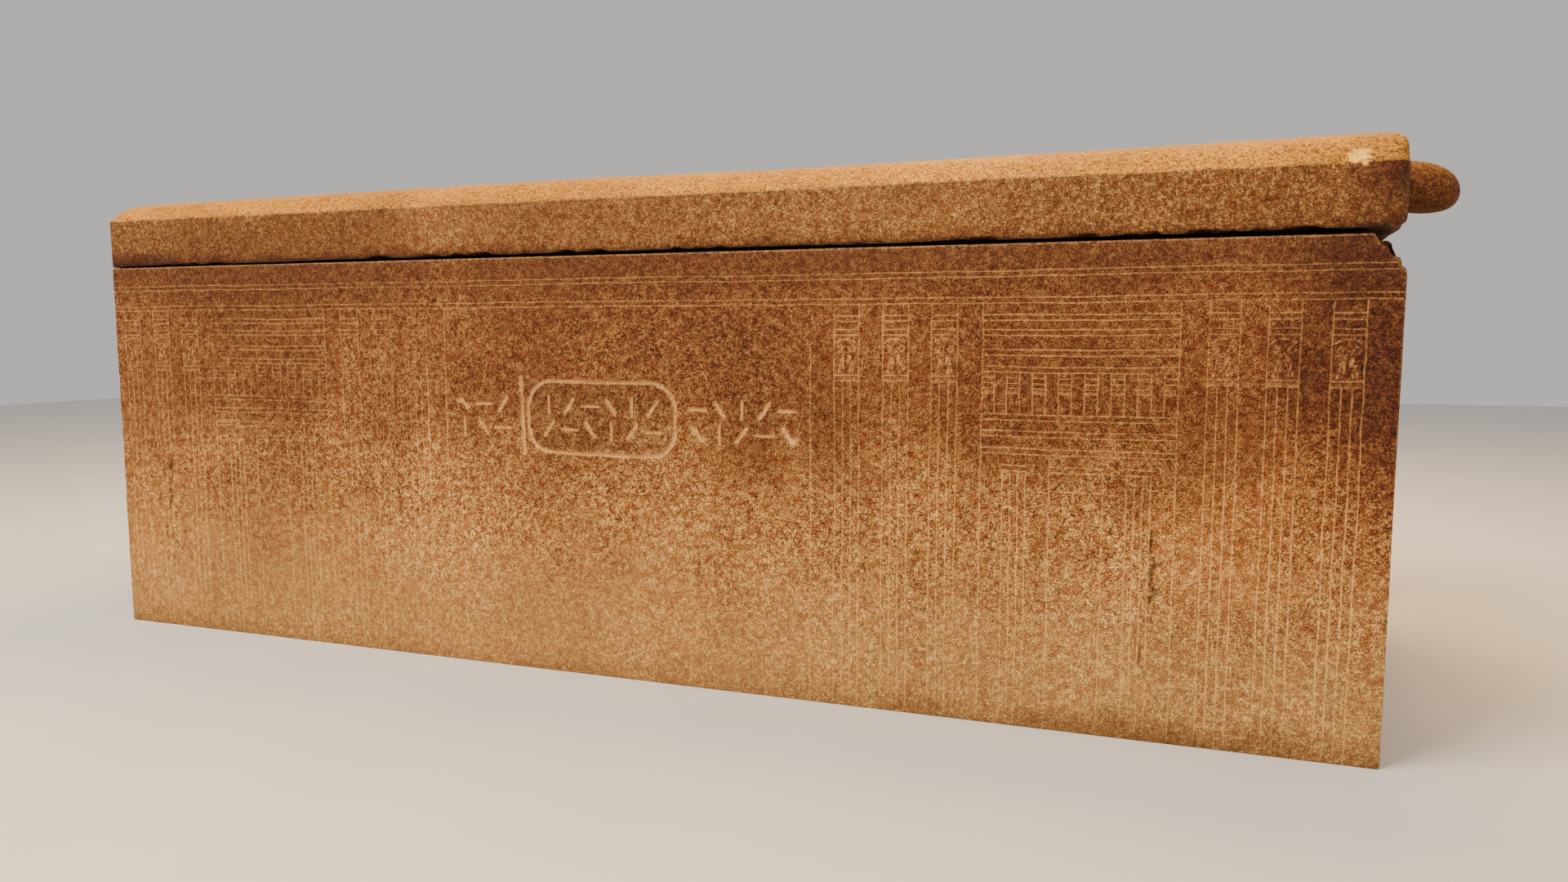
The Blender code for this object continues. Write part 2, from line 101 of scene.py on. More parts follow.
class Skin:
    """A closed surface put together from grids of points whose edges are stitched to each other.
    Each point carries its place, the outward direction there, and four marks: how far it lies in
    a scratched line, on a fresh break, in a dark stain and painted shade, and on pale wear and a painted
    highlight."""

    def __init__(self):
        self.places = np.zeros((0, 3))
        self.outward = np.zeros((0, 3))
        self.marks = np.zeros((0, 4))
        self.quads = []
        self.triangles = []

    def grid(self, places, outward, marks=None, closed=False, skip=None):
        """Adds rows of points with quads between neighbours, and returns the points' numbers.
        Closed rows also join their last point to their first."""
        rows, columns = places.shape[:2]
        size = rows * columns
        numbers = len(self.places) + np.arange(size).reshape(rows, columns)
        marks = np.zeros((size, 4)) if marks is None else marks.reshape(size, 4)
        self.places = np.concatenate((self.places, places.reshape(size, 3)))
        outward = np.broadcast_to(outward, places.shape).reshape(size, 3)
        self.outward = np.concatenate((self.outward, outward))
        self.marks = np.concatenate((self.marks, marks))
        net = np.concatenate((numbers, numbers[:, :1]), axis=1) if closed else numbers
        quads = np.stack((net[:-1, :-1], net[:-1, 1:], net[1:, 1:], net[1:, :-1]), -1)
        self.quads.append(quads.reshape(-1, 4) if skip is None else quads[~skip])
        return numbers

    def stitch(self, first, second, first_steps=None, second_steps=None):
        """Fills the strip between two rows of points that run the same way but may differ in
        number. Each edge of a row makes a triangle with the other row's point that is level with
        its middle, by the share of the row's length that has gone by."""
        middles = []
        for row, steps in ((first, first_steps), (second, second_steps)):
            if steps is None:
                lengths = np.linalg.norm(np.diff(self.places[row], axis=0), axis=1)
                steps = np.concatenate(([0.0], np.cumsum(lengths))) / lengths.sum()
            middles.append((steps[1:] + steps[:-1]) / 2)
        level = np.searchsorted(middles[1], middles[0], side="left")
        self.triangles.append(np.stack((first[:-1], first[1:], second[level]), -1))
        level = np.searchsorted(middles[0], middles[1], side="right")
        self.triangles.append(np.stack((second[1:], second[:-1], first[level]), -1))

    def join_loops(self, first, second, axes=(0, 1)):
        """Stitches two closed loops, one inside the other. Each is read anticlockwise from its
        low corner, so that corners meet corners, and along a side by the share of its length."""
        ready = []
        for loop in (first, second):
            flat = self.places[loop][:, axes]
            flat = (flat - (flat.max(0) + flat.min(0)) / 2) / (flat.max(0) - flat.min(0))
            area = np.sum(flat[:, 0] * np.roll(flat[:, 1], -1) - flat[:, 1] * np.roll(flat[:, 0], -1))
            if area < 0:
                loop, flat = loop[::-1], flat[::-1]
            start = np.argmax(-flat[:, 0] - flat[:, 1])
            loop, flat = np.roll(loop, -start), np.roll(flat, -start, axis=0)
            corners = [np.argmax(x * flat[:, 0] + y * flat[:, 1]) for x, y in ((1, -1), (1, 1), (-1, 1))]
            loop = np.append(loop, loop[0])
            lengths = np.linalg.norm(np.diff(self.places[loop], axis=0), axis=1)
            gone = np.concatenate(([0.0], np.cumsum(lengths)))
            ready.append((loop, np.interp(gone, gone[[0, *corners, len(loop) - 1]], range(5))))
        self.stitch(ready[0][0], ready[1][0], ready[0][1], ready[1][1])

    def cap(self, loop, places, outward, axes=(0, 1), skip=None):
        """Closes a loop with a grid that lies inside it."""
        numbers = self.grid(places, outward, skip=skip)
        self.join_loops(loop, edge_loop(numbers), axes)
        return numbers

    def fan(self, ring, place, outward):
        """Closes a ring of points with triangles to one point."""
        tip = self.grid(np.array(place).reshape(1, 1, 3), np.array(outward))[0, 0]
        self.triangles.append(np.stack((ring, np.roll(ring, -1), np.full(len(ring), tip)), -1))


def edge_loop(numbers):
    """The points round the edge of a grid, in order."""
    return np.concatenate((numbers[0, :-1], numbers[:-1, -1], numbers[-1, :0:-1], numbers[:0:-1, 0]))


def stops(anchors, low, high, step, zones=()):
    """Positions along one side: the anchors, then the points of finer zones that keep clear of
    them, and then even points that leave no gap wider than the step."""
    kept = [low, high]
    for anchor in sorted(anchors):
        if low + 0.0007 < anchor < high - 0.0007 and min(abs(anchor - k) for k in kept) > 0.0007:
            kept.append(anchor)
    for start, end, fine in zones:
        for point in np.arange(start, end, fine):
            if low < point < high and min(abs(point - k) for k in kept) > 0.6 * fine:
                kept.append(float(point))
    kept = np.sort(kept)
    pieces = np.ceil(np.diff(kept) / step - 0.01).astype(int).clip(1)
    ends = np.concatenate(([0], np.cumsum(pieces)))
    return np.interp(np.arange(ends[-1] + 1), ends, kept)


def cut_lines(x, z, lines):
    """How deep and how pale the stone is at points of a face. Across each line the depth is its
    full depth times 1 - (distance / half width)^2, and the deepest line wins."""
    depth = np.zeros(x.shape)
    pale = np.zeros(x.shape)
    for x0, z0, x1, z1, width, full in lines:
        near = (np.minimum(x0, x1) - width < x) & (x < np.maximum(x0, x1) + width)
        near &= (np.minimum(z0, z1) - width < z) & (z < np.maximum(z0, z1) + width)
        run = np.array((x1 - x0, z1 - z0))
        dx, dz = x[near] - x0, z[near] - z0
        along = ((dx * run[0] + dz * run[1]) / max(run @ run, 1e-12)).clip(0.0, 1.0)
        distance = np.hypot(dx - along * run[0], dz - along * run[1])
        share = (1.0 - (2.0 * distance / width) ** 2).clip(0.0, 1.0)
        depth[near] = np.maximum(depth[near], full * share)
        pale[near] = np.maximum(pale[near], share)
    return depth, pale


def level_pair(x0, x1, z):
    """Two level lines, just above and just below a height."""
    half = PAIR_GAP / 2
    return [(x0, z + k, x1, z + k, LINE_WIDTH, LINE_DEPTH) for k in (-half, half)]


def upright(x, top, foot=FOOT):
    """One upright line."""
    return [(x, foot, x, top, LINE_WIDTH, LINE_DEPTH)]


def chords(x, z, width, depth):
    """A bent line as short straight ones between its points."""
    return [(x[i], z[i], x[i + 1], z[i + 1], width, depth) for i in range(len(x) - 1)]


UPPER_BAND = RIM - 0.0465
LOWER_BAND = RIM - 0.0885
BAND_FOOT = LOWER_BAND - PAIR_GAP / 2
DOOR_PAIRS = (0.670, 0.646, 0.6145, 0.5875, 0.5105, 0.484, 0.4555)
LEAF_PAIR = 0.4275
LINTEL = 0.393
SLOT_TOP = 0.583
SLOT_FOOT = 0.515
SLOT_BARS = (0.574, 0.565, 0.557, 0.549)
DOOR_HALF = 0.1495
PANEL_PAIRS = (0.669, 0.646, 0.5695)
PANEL_HALF = 0.0215
PANEL_OFFSETS = (0.2115, 0.2925, 0.3765)
JAMB_OFFSET = 0.441
RIGHT_JAMB_TOP = 0.62
LEAF_OFFSET = 0.0955
LEAF_INNER = 0.041
LEAF_SPACING = 0.012
SLOT_COUNT = 8
SLOT_WIDTH = 0.02
LEFT_FRONT = -0.823
RIGHT_FRONT = 0.8025


def door_lines(x, plain):
    """The door of a palace front: its posts, pairs of level lines, eight slots and two leaves."""
    lines = []
    for side in (-1, 1):
        leaf = x + side * LEAF_OFFSET
        half = 1.5 * LEAF_SPACING
        lines += upright(x + side * DOOR_HALF, BAND_FOOT)
        lines += upright(x + side * LEAF_INNER, DOOR_PAIRS[-1] - PAIR_GAP / 2)
        for number in range(4):
            lines += upright(leaf + LEAF_SPACING * (number - 1.5), LEAF_PAIR - PAIR_GAP / 2)
        lines += level_pair(leaf - half, leaf + half, LEAF_PAIR)
    for z in DOOR_PAIRS:
        lines += level_pair(x - DOOR_HALF, x + DOOR_HALF, z)
    lines += level_pair(x - LEAF_INNER, x + LEAF_INNER, LEAF_PAIR)
    lines.append((x - LEAF_INNER, LINTEL, x + LEAF_INNER, LINTEL, LINE_WIDTH, LINE_DEPTH))
    if not plain:
        pitch = (2 * DOOR_HALF - SLOT_WIDTH) / (SLOT_COUNT - 1)
        for number in range(SLOT_COUNT):
            left = x - DOOR_HALF + number * pitch
            for edge in (left, left + SLOT_WIDTH):
                if abs(abs(edge - x) - DOOR_HALF) > 0.001:
                    lines += upright(edge, SLOT_TOP, SLOT_FOOT)
            for z in SLOT_BARS:
                lines.append((left, z, left + SLOT_WIDTH, z, LINE_WIDTH * 0.8, LINE_DEPTH * 0.8))
    return lines


def knot_lines(x, top):
    """Tied plants at the head of a panel: two loops, the tie under them, and two pairs of stalks
    that spread below it like a tent."""
    thin = LINE_WIDTH * 0.75
    shallow = LINE_DEPTH * 0.8
    tie = top - 0.029
    lines = [(x - 0.014, tie, x + 0.015, tie + 0.0006, thin, shallow)]
    arc = np.linspace(0.0, pi, 7)
    lines += chords(x + 0.016 * np.cos(arc), top - 0.013 + 0.007 * np.sin(arc), thin, shallow)
    around = np.linspace(0.0, 2 * pi, 9)
    for side in (-1, 1):
        loop_x = x + side * 0.0105 + 0.0042 * np.cos(around)
        lines += chords(loop_x, top - 0.0225 + 0.0042 * np.sin(around), thin, shallow)
        lines.append((x + side * 0.003, tie - 0.004, x + side * 0.0065, top - 0.062, thin, shallow))
        lines.append((x + side * 0.005, tie - 0.003, x + side * 0.0135, top - 0.063, thin, shallow))
    return lines


def panel_lines(x, plain):
    """A narrow panel: two long lines, pairs of level lines, a knot, and two inner lines below."""
    lines = []
    for side in (-1, 1):
        lines += upright(x + side * PANEL_HALF, BAND_FOOT)
        if not plain:
            lines += upright(x + side * PANEL_HALF / 3, PANEL_PAIRS[2] - PAIR_GAP / 2)
    for z in PANEL_PAIRS[2:] if plain else PANEL_PAIRS:
        lines += level_pair(x - PANEL_HALF, x + PANEL_HALF, z)
    if not plain:
        lines += knot_lines(x, PANEL_PAIRS[1] - PAIR_GAP / 2)
    return lines


def palace_lines(x, plain=False):
    """A whole palace front: the door, and three narrow panels on each side of it."""
    lines = door_lines(x, plain)
    for side in (-1, 1):
        for offset in PANEL_OFFSETS:
            lines += panel_lines(x + side * offset, plain)
    return lines


RING_X = -0.0465
RING_Z = 0.4875
RING_HALF_LENGTH = 0.152
RING_HALF_HEIGHT = 0.067
RING_CORNER = 0.05
RING_WIDTH = 0.0085
RING_DEPTH = 0.0034
BAR_GAP = 0.013
STROKE_HALF = 0.0155
STROKE_SPACING = 0.043
STROKE_ROWS = (0.022, -0.022)


def ring_lines():
    """The ring as short chords: four quarter circles joined by straight sides, and its end bar."""
    angles = np.linspace(0.0, 2 * pi, 32, endpoint=False) + pi / 32
    c, s = np.cos(angles), np.sin(angles)
    x = RING_X + np.sign(c) * (RING_HALF_LENGTH - RING_CORNER) + RING_CORNER * c
    z = RING_Z + np.sign(s) * (RING_HALF_HEIGHT - RING_CORNER) + RING_CORNER * s
    lines = chords(np.append(x[-1], x), np.append(z[-1], z), RING_WIDTH, RING_DEPTH)
    bar = RING_X - RING_HALF_LENGTH - BAR_GAP
    lines.append((bar - 0.003, RING_Z + 0.075, bar + 0.003, RING_Z - 0.073, 0.0075, 0.003))
    return lines


def stroke_lines():
    """Two rows of short strokes that are no letters: upright, leaning and flat in turn. Six are
    in the ring, three to its left and five to its right."""
    lines = []
    groups = (
        (RING_X - 2.5 * STROKE_SPACING, STROKE_SPACING, 6, 0),
        (RING_X - RING_HALF_LENGTH - 0.057, -STROKE_SPACING, 3, 1),
        (RING_X + RING_HALF_LENGTH + STROKE_SPACING, STROKE_SPACING, 5, 2),
    )
    for row in (0, 1):
        z = RING_Z + STROKE_ROWS[row]
        for start, step, count, kind in groups:
            for number in range(count):
                lean = np.radians((0.0, 35.0, 90.0, -35.0)[(number + kind + row) % 4])
                x = start + number * step
                dx, dz = STROKE_HALF * np.sin(lean), STROKE_HALF * np.cos(lean)
                lines.append((x - dx, z - dz, x + dx, z + dz, 0.0078, 0.0026))
    return lines


def worn_depth(points):
    """How far the ground face lies behind its plane: slow swells of about a millimetre."""
    return layered_noise(points, ((0.0009, 0.21), (0.0004, 0.05)), 11)


SWAY = ((0.0017, 0.2), (0.0009, 0.05), (0.0007, 0.021))


def turned(places, turn):
    """Points of the front turned about the upright axis by quarter turns."""
    x, y, z = places[..., 0], places[..., 1], places[..., 2]
    c, s = ((1, 0), (0, 1), (-1, 0), (0, -1))[turn]
    return np.stack((c * x - s * y, s * x + c * y, z), -1)


def carved_face(skin, turn, half_length, distance, lines, bands):
    """One upright face as a stack of grids, each with its own columns. A grid has a column or a
    row on both edges and on the middle of each line that crosses it. All lines waver together:
    each point is moved by slow noise after the lines are cut. Returns the lowest and highest
    rows and the two upright edges."""
    reach = half_length - CORNER_RADIUS
    grids = []
    normal = turned(np.array((0.0, -1.0, 0.0)), turn)
    for low, high, step_x, step_z, zones_x, zones_z in bands:
        crossing = [line for line in lines if min(line[1], line[3]) < high and max(line[1], line[3]) > low]
        anchors = []
        for axis in (0, 1):
            straight = [line for line in crossing if abs(line[axis] - line[axis + 2]) < 1e-6]
            anchors.append([line[axis] + k * line[4] / 2 for line in straight for k in (-1, 0, 1)])
        columns = stops(anchors[0], -reach, reach, step_x, zones_x)
        rows = stops(anchors[1], low, high, step_z, zones_z)
        x, z = np.meshgrid(columns, rows)
        plane = np.full(x.shape, -distance)
        depth, pale = cut_lines(x, z, crossing)
        flat = turned(np.stack((x, plane, z), -1), turn)
        # The lines meet the edges of the face in place, and waver by a millimetre or two elsewhere.
        hold = share_of(np.abs(x), reach, reach - 0.04) * share_of(z, bands[0][0], bands[0][0] + 0.04)
        hold = hold * share_of(z, bands[-1][1], bands[-1][1] - 0.03)
        sway_x, sway_z = (layered_noise(flat, SWAY, seed + 3 * turn) for seed in (21, 121))
        moved = turned(np.stack((x + hold * sway_x, plane, z + hold * sway_z), -1), turn)
        # They are worn in patches, less so at the right, and hardly at all round the ring.
        chatter = lattice_noise(flat, 0.014, 13 + turn)
        fade = lattice_noise(flat, 0.16, 14 + turn)
        wear = 0.82 + 0.45 * fade + 0.4 * chatter
        wear = wear - 0.2 * share_of(x, 0.1, -0.5) + 0.3 * share_of(x, 0.2, 0.5)
        by_ring = (turn == 0) & (np.abs(x - RING_X) < 0.38) & (np.abs(z - RING_Z) < 0.09)
        wear = np.where(by_ring, 2.0, wear)
        depth = depth * wear.clip(0.3, 1.1) + worn_depth(flat)
        marks = np.zeros((*x.shape, 4))
        marks[..., 0] = pale * wear.clip(0.12, 2.0)
        numbers = skin.grid(moved - depth[..., None] * normal, normal, marks)
        if grids:
            skin.stitch(grids[-1][-1], numbers[0])
        grids.append(numbers)
    left = np.concatenate([numbers[:, 0] for numbers in grids])
    right = np.concatenate([numbers[:, -1] for numbers in grids])
    return grids[0][0], grids[-1][-1], left, right


def scooped(places, marks, centre, radii, roughness, seed, fresh=1.0):
    """Breaks stone away: points inside a lumpy ellipsoid are pushed out to its surface, straight
    away from its centre, which lies outside the stone."""
    offset = (places - centre) / radii
    distance = np.linalg.norm(offset, axis=1)
    layers = ((roughness, 0.4 * min(radii)), (0.4 * roughness, 0.15 * min(radii)))
    lumps = 1.0 + layered_noise(places, layers, seed)
    inside = (distance < lumps) & (distance > 1e-6)
    grow = (lumps[inside] / distance[inside])[:, None]
    places[inside] = centre + offset[inside] * grow * radii
    marks[inside, 1] = np.maximum(marks[inside, 1], fresh)


def finished_piece(name, skin, places, marks):
    """The skin as a mesh object: points that no face uses are left out, the faces are turned
    outwards, and the marks are stored on the points."""
    quads = np.concatenate(skin.quads)
    triangles = np.concatenate(skin.triangles)
    used = np.zeros(len(places), bool)
    used[quads] = True
    used[triangles] = True
    renumber = np.cumsum(used) - 1
    mesh = bpy.data.meshes.new(name)
    mesh.from_pydata(places[used].tolist(), [], renumber[quads].tolist() + renumber[triangles].tolist())
    shell = bmesh.new()
    shell.from_mesh(mesh)
    bmesh.ops.recalc_face_normals(shell, faces=shell.faces)
    shell.to_mesh(mesh)
    shell.free()
    for channel, label in enumerate(("scratched", "broken", "stain_and_shade", "rubbed_and_highlight")):
        layer = mesh.attributes.new(label, "FLOAT", "POINT")
        layer.data.foreach_set("value", marks[used, channel].astype(np.float32))
    mesh.shade_smooth()
    mesh.set_sharp_from_angle(angle=np.radians(17.0))
    piece = bpy.data.objects.new(name, mesh)
    bpy.context.scene.collection.objects.link(piece)
    return piece


def coffer_skin():
    """The coffer's whole surface: four carved faces joined by rounded corners, the rim, the
    hollow's walls and floor, and the underside."""
    skin = Skin()
    low = UNDER_RADIUS
    high = RIM - ARRIS_RADIUS
    bands_level = level_pair(-3.0, 3.0, UPPER_BAND) + level_pair(-3.0, 3.0, LOWER_BAND)
    front_lines = bands_level + palace_lines(LEFT_FRONT) + palace_lines(RIGHT_FRONT)
    front_lines += upright(LEFT_FRONT + JAMB_OFFSET, BAND_FOOT)
    front_lines += upright(RIGHT_FRONT - JAMB_OFFSET, RIGHT_JAMB_TOP)
    front_lines += ring_lines() + stroke_lines()
    knot_zones = [
        (x + side * offset - PANEL_HALF, x + side * offset + PANEL_HALF, 0.0028)
        for x in (LEFT_FRONT, RIGHT_FRONT) for side in (-1, 1) for offset in PANEL_OFFSETS
    ]
    ring_zone = [(RING_X - 0.18, RING_X + 0.165, 0.0034), (RING_X - 0.275, RING_X + 0.375, 0.0045)]
    crack_zones = [(-1.128, -1.094, 0.0028), (0.9, 0.93, 0.0028)]
    corner_zone = [(HALF_LENGTH - 0.06, HALF_LENGTH, 0.0035)]
    near_corner = [(-HALF_WIDTH, 0.18 - HALF_WIDTH, 0.006)]
    gap = 0.001
    front_bands = (
        (low, 0.403 - gap, 0.02, 0.02, crack_zones, [(0.11, 0.155, 0.008), (0.23, 0.37, 0.008)]),
        (0.403 + gap, 0.5785 - gap, 0.02, 0.016, ring_zone, [(0.411, 0.563, 0.0036)]),
        (0.5785 + gap, 0.6365 - gap, 0.02, 0.0031, knot_zones, ()),
        (0.6365 + gap, 0.684 - gap, 0.02, 0.01, (), ()),
        (0.684 + gap, LOWER_BAND - gap, 0.012, 0.01, (), ()),
        (LOWER_BAND + gap, high, 0.012, 0.008, corner_zone, [(0.728, high, 0.005)]),
    )
    plain_bands = (
        (low, 0.44 - gap, 0.035, 0.045, (), ()),
        (0.44 + gap, 0.684 - gap, 0.035, 0.024, (), ()),
        (0.684 + gap, high, 0.028, 0.012, near_corner, [(0.73, high, 0.006)]),
    )
    back_lines = bands_level + palace_lines(-RIGHT_FRONT, True) + palace_lines(RIGHT_FRONT, True)
    end_lines = bands_level + door_lines(0.0, True)
    faces = (
        carved_face(skin, 0, HALF_LENGTH, HALF_WIDTH, front_lines, front_bands),
        carved_face(skin, 1, HALF_WIDTH, HALF_LENGTH, end_lines, plain_bands),
        carved_face(skin, 2, HALF_LENGTH, HALF_WIDTH, back_lines, plain_bands),
        carved_face(skin, 3, HALF_WIDTH, HALF_LENGTH, end_lines, plain_bands),
    )
    lowest, highest = [], []
    rows = np.linspace(low, high, 90)
    angle, z = np.meshgrid(np.linspace(0.0, pi / 2, 6)[1:-1], rows)
    for turn in range(4):
        reach = ((HALF_LENGTH, HALF_WIDTH), (HALF_WIDTH, HALF_LENGTH))[turn % 2]
        normal = turned(np.stack((np.sin(angle), -np.cos(angle), np.zeros(angle.shape)), -1), turn)
        centre = (reach[0] - CORNER_RADIUS + 0 * z, CORNER_RADIUS - reach[1] + 0 * z, z)
        flat = turned(np.stack(centre, -1), turn) + CORNER_RADIUS * normal
        nick = 0.0035 * (lattice_noise(flat, 0.03, 31) - 0.2).clip(0.0)
        depth = nick * np.sin(2 * angle) + worn_depth(flat)
        marks = np.zeros((*angle.shape, 4))
        marks[..., 3] = 0.4 * np.sin(2 * angle)
        numbers = skin.grid(flat - depth[..., None] * normal, normal, marks)
        skin.stitch(faces[turn][3], numbers[:, 0])
        skin.stitch(numbers[:, -1], faces[(turn + 1) % 4][2])
        lowest += [faces[turn][0], numbers[0]]
        highest += [faces[turn][1], numbers[-1]]
    add_rim_and_hollow(skin, np.concatenate(highest))
    add_underside(skin, np.concatenate(lowest))
    return skin


def rounded_loop(half_x, half_y, radius):
    """A rectangle with round corners as a closed loop, anticlockwise from the front left, and the
    outward direction at each point. Loops of any size have the same number of points."""
    arc = np.linspace(0.0, pi / 2, 6)[1:-1]
    close = np.linspace(0.0, 1.0, 16)
    long_side = np.concatenate((np.linspace(0.0, 0.96, 70)[:-1], 0.96 + 0.04 * close))
    short_side = np.concatenate((0.2 * np.linspace(0.0, 1.0, 22), np.linspace(0.2, 1.0, 24)[1:]))
    places, normals = [], []
    for turn in range(4):
        reach, out, share = ((half_x, half_y, long_side), (half_y, half_x, short_side))[turn % 2]
        side = (reach - radius) * (2.0 * share - 1.0)
        count = len(side)
        x = np.concatenate((side, reach - radius + radius * np.sin(arc)))
        y = np.concatenate((np.full(count, -out), radius - out - radius * np.cos(arc)))
        n_x = np.concatenate((np.zeros(count), np.sin(arc)))
        n_y = np.concatenate((np.full(count, -1.0), -np.cos(arc)))
        places.append(turned(np.stack((x, y, np.zeros(len(x))), -1), turn))
        normals.append(turned(np.stack((n_x, n_y, np.zeros(len(x))), -1), turn))
    return np.concatenate(places), np.concatenate(normals)


def add_rim_and_hollow(skin, top_row):
    """The outer arris, worn down and given a painted highlight, is rows on a quarter circle inside the
    top row. The rim, the inner arris and the walls are rows of one loop that slides inwards and
    then down to the floor."""
    start, normal = skin.places[top_row], skin.outward[top_row]
    bend = np.linspace(0.0, pi / 2, 5)[1:, None]
    rubbed_and_highlight = 0.0011 * (0.6 + layered_noise(start, ((1.0, 0.035), (0.5, 0.011)), 41))
    arris = start - normal * (ARRIS_RADIUS * (1.0 - np.cos(bend)))[..., None]
    arris[..., 2] = RIM - ARRIS_RADIUS * (1.0 - np.sin(bend)) - rubbed_and_highlight * np.sin(2 * bend)
    # Along its middle the arris gets a painted highlight over its pale wear.
    marks = np.zeros((*arris.shape[:2], 4))
    marks[..., 3] = 0.6 * np.sin(2 * bend)
    arris_numbers = skin.grid(arris, UP, marks, closed=True)
    skin.join_loops(top_row, arris_numbers[0])

    outer, _ = rounded_loop(HALF_LENGTH - 0.012, HALF_WIDTH - 0.012, 0.004)
    inner, inner_normal = rounded_loop(HALF_LENGTH - END_WALL, HALF_WIDTH - SIDE_WALL, 0.02)
    share = np.linspace(0.0, 1.0, 12)[:, None, None] ** 1.4
    rim = outer * (1.0 - share) + (inner + LIP_RADIUS * inner_normal) * share
    bend = np.linspace(0.0, pi / 2, 4)[1:, None, None]
    lip = inner + LIP_RADIUS * (1.0 - np.sin(bend)) * inner_normal
    lip = lip - np.array((0.0, 0.0, LIP_RADIUS)) * (1.0 - np.cos(bend))
    drop = np.linspace(0.03, RIM - FLOOR_TOP - 0.02, 18)[:, None, None]
    walls = inner - drop * np.array(UP)
    chisel = 0.002 * lattice_noise(walls, 0.06, 43)
    walls = walls + chisel[..., None] * inner_normal
    hollow = np.concatenate((rim, lip, walls)) + np.array((0.0, 0.0, RIM - 0.0002))
    marks = np.zeros((*hollow.shape[:2], 4))
    # The outer rows of the rim get painted shade, for the dark seam under the lid.
    marks[:4, :, 2] = 0.8
    hollow_numbers = skin.grid(hollow, UP, marks, closed=True)
    skin.join_loops(arris_numbers[-1], hollow_numbers[0])
    x, y = np.meshgrid(
        np.linspace(END_WALL - HALF_LENGTH + 0.03, HALF_LENGTH - END_WALL - 0.03, 60),
        np.linspace(SIDE_WALL - HALF_WIDTH + 0.03, HALF_WIDTH - SIDE_WALL - 0.03, 20),
    )
    points = np.stack((x, y, np.full(x.shape, FLOOR_TOP)), -1)
    points[..., 2] += 0.0015 * lattice_noise(points, 0.07, 44)
    skin.cap(hollow_numbers[-1], points, UP)


def add_underside(skin, low_row):
    """The worn lower arris, on a quarter circle, and the flat underside on the ground."""
    start, normal = skin.places[low_row], skin.outward[low_row]
    bend = np.linspace(0.0, pi / 2, 4)[1:, None]
    arris = start - normal * (UNDER_RADIUS * (1.0 - np.cos(bend)))[..., None]
    arris[..., 2] = UNDER_RADIUS * (1.0 - np.sin(bend))
    numbers = skin.grid(arris, DOWN, closed=True)
    skin.join_loops(low_row, numbers[0])
    x, y = np.meshgrid(
        np.linspace(0.03 - HALF_LENGTH, HALF_LENGTH - 0.03, 50),
        np.linspace(0.03 - HALF_WIDTH, HALF_WIDTH - 0.03, 20),
    )
    skin.cap(numbers[-1], np.stack((x, y, np.zeros(x.shape)), -1), DOWN)


skin = coffer_skin()
places, marks = skin.places, skin.marks
# The lost corner: a wide shallow hollow above and a shorter one that reaches lower. They run 155
# and 75 mm back along the end's top edge.
corner = np.array((HALF_LENGTH, -HALF_WIDTH, RIM))
scooped(places, marks, corner + (0.004, -0.004, 0.012), (0.052, 0.155, 0.050), 0.09, 51, 0.4)
scooped(places, marks, corner + (0.008, -0.006, -0.012), (0.026, 0.075, 0.046), 0.10, 53, 0.4)
# Near the lost corner the stain and the painted shade of the rim are taken off.
by_corner = np.linalg.norm((places - corner) / (0.1, 0.25, 0.1), axis=1) < 1.0
marks[by_corner, 2] = 0.0
# The ground inside the ring is darker, and three old cracks are dark and a few millimetres deep.
in_front = skin.outward[:, 1] < -0.9
from_ring = np.abs(places - (RING_X, 0.0, RING_Z)) / (RING_HALF_LENGTH, 1.0, RING_HALF_HEIGHT)
inside_ring = in_front & (np.maximum(from_ring[:, 0], from_ring[:, 2]) ** 4 < 0.8)
marks[inside_ring, 2] = 0.2 * (1.0 - marks[inside_ring, 0].clip(0.0, 1.0))
CRACK_WIDTH = 0.0055
CRACK_DEPTH = 0.003
cracks = ((0.92, 0.34, 0.921, 0.23), (0.908, 0.155, 0.912, 0.11), (-1.103, 0.37, -1.12, 0.26))
wander = 0.006 * lattice_noise(places * (0.0, 0.0, 1.0), 0.016, 55)
width = CRACK_WIDTH * (0.6 + lattice_noise(places, 0.012, 56)).clip(0.35, 1.1)
for x0, z0, x1, z1 in cracks:
    along = share_of(places[:, 2], z0, z1)
    off_x = places[:, 0] - x0 - along * (x1 - x0) - wander
    off_z = places[:, 2] - z0 - along * (z1 - z0)
    share = (1.0 - np.hypot(off_x, off_z) / width).clip(0.0, 1.0) * in_front
    places[:, 1] += CRACK_DEPTH * share
    marks[:, 2] = np.maximum(marks[:, 2], 0.85 * share ** 0.7)
coffer_piece = finished_piece("coffer_stone", skin, places, marks)


def linear(colour):
    """An sRGB hex colour as linear red, green and blue, with alpha 1."""
    parts = np.array([int(colour[i:i + 2], 16) for i in (0, 2, 4)]) / 255.0
    return (*np.where(parts <= 0.04045, parts / 12.92, ((parts + 0.055) / 1.055) ** 2.4), 1.0)


def added(tree, kind, inputs, stops=(), **settings):
    """Adds a node with its settings, then gives each input a value or a link from another node.
    Stops are the places and colours of a ramp."""
    node = tree.nodes.new("ShaderNode" + kind)
    for name, value in settings.items():
        setattr(node, name, value)
    for number, (place, colour) in enumerate(stops):
        points = node.color_ramp.elements
        point = points[number] if number < len(points) else points.new(place)
        point.position, point.color = place, linear(colour)
    for socket, value in inputs.items():
        if isinstance(value, bpy.types.NodeSocket):
            tree.links.new(value, node.inputs[socket])
        else:
            node.inputs[socket].default_value = value
    return node


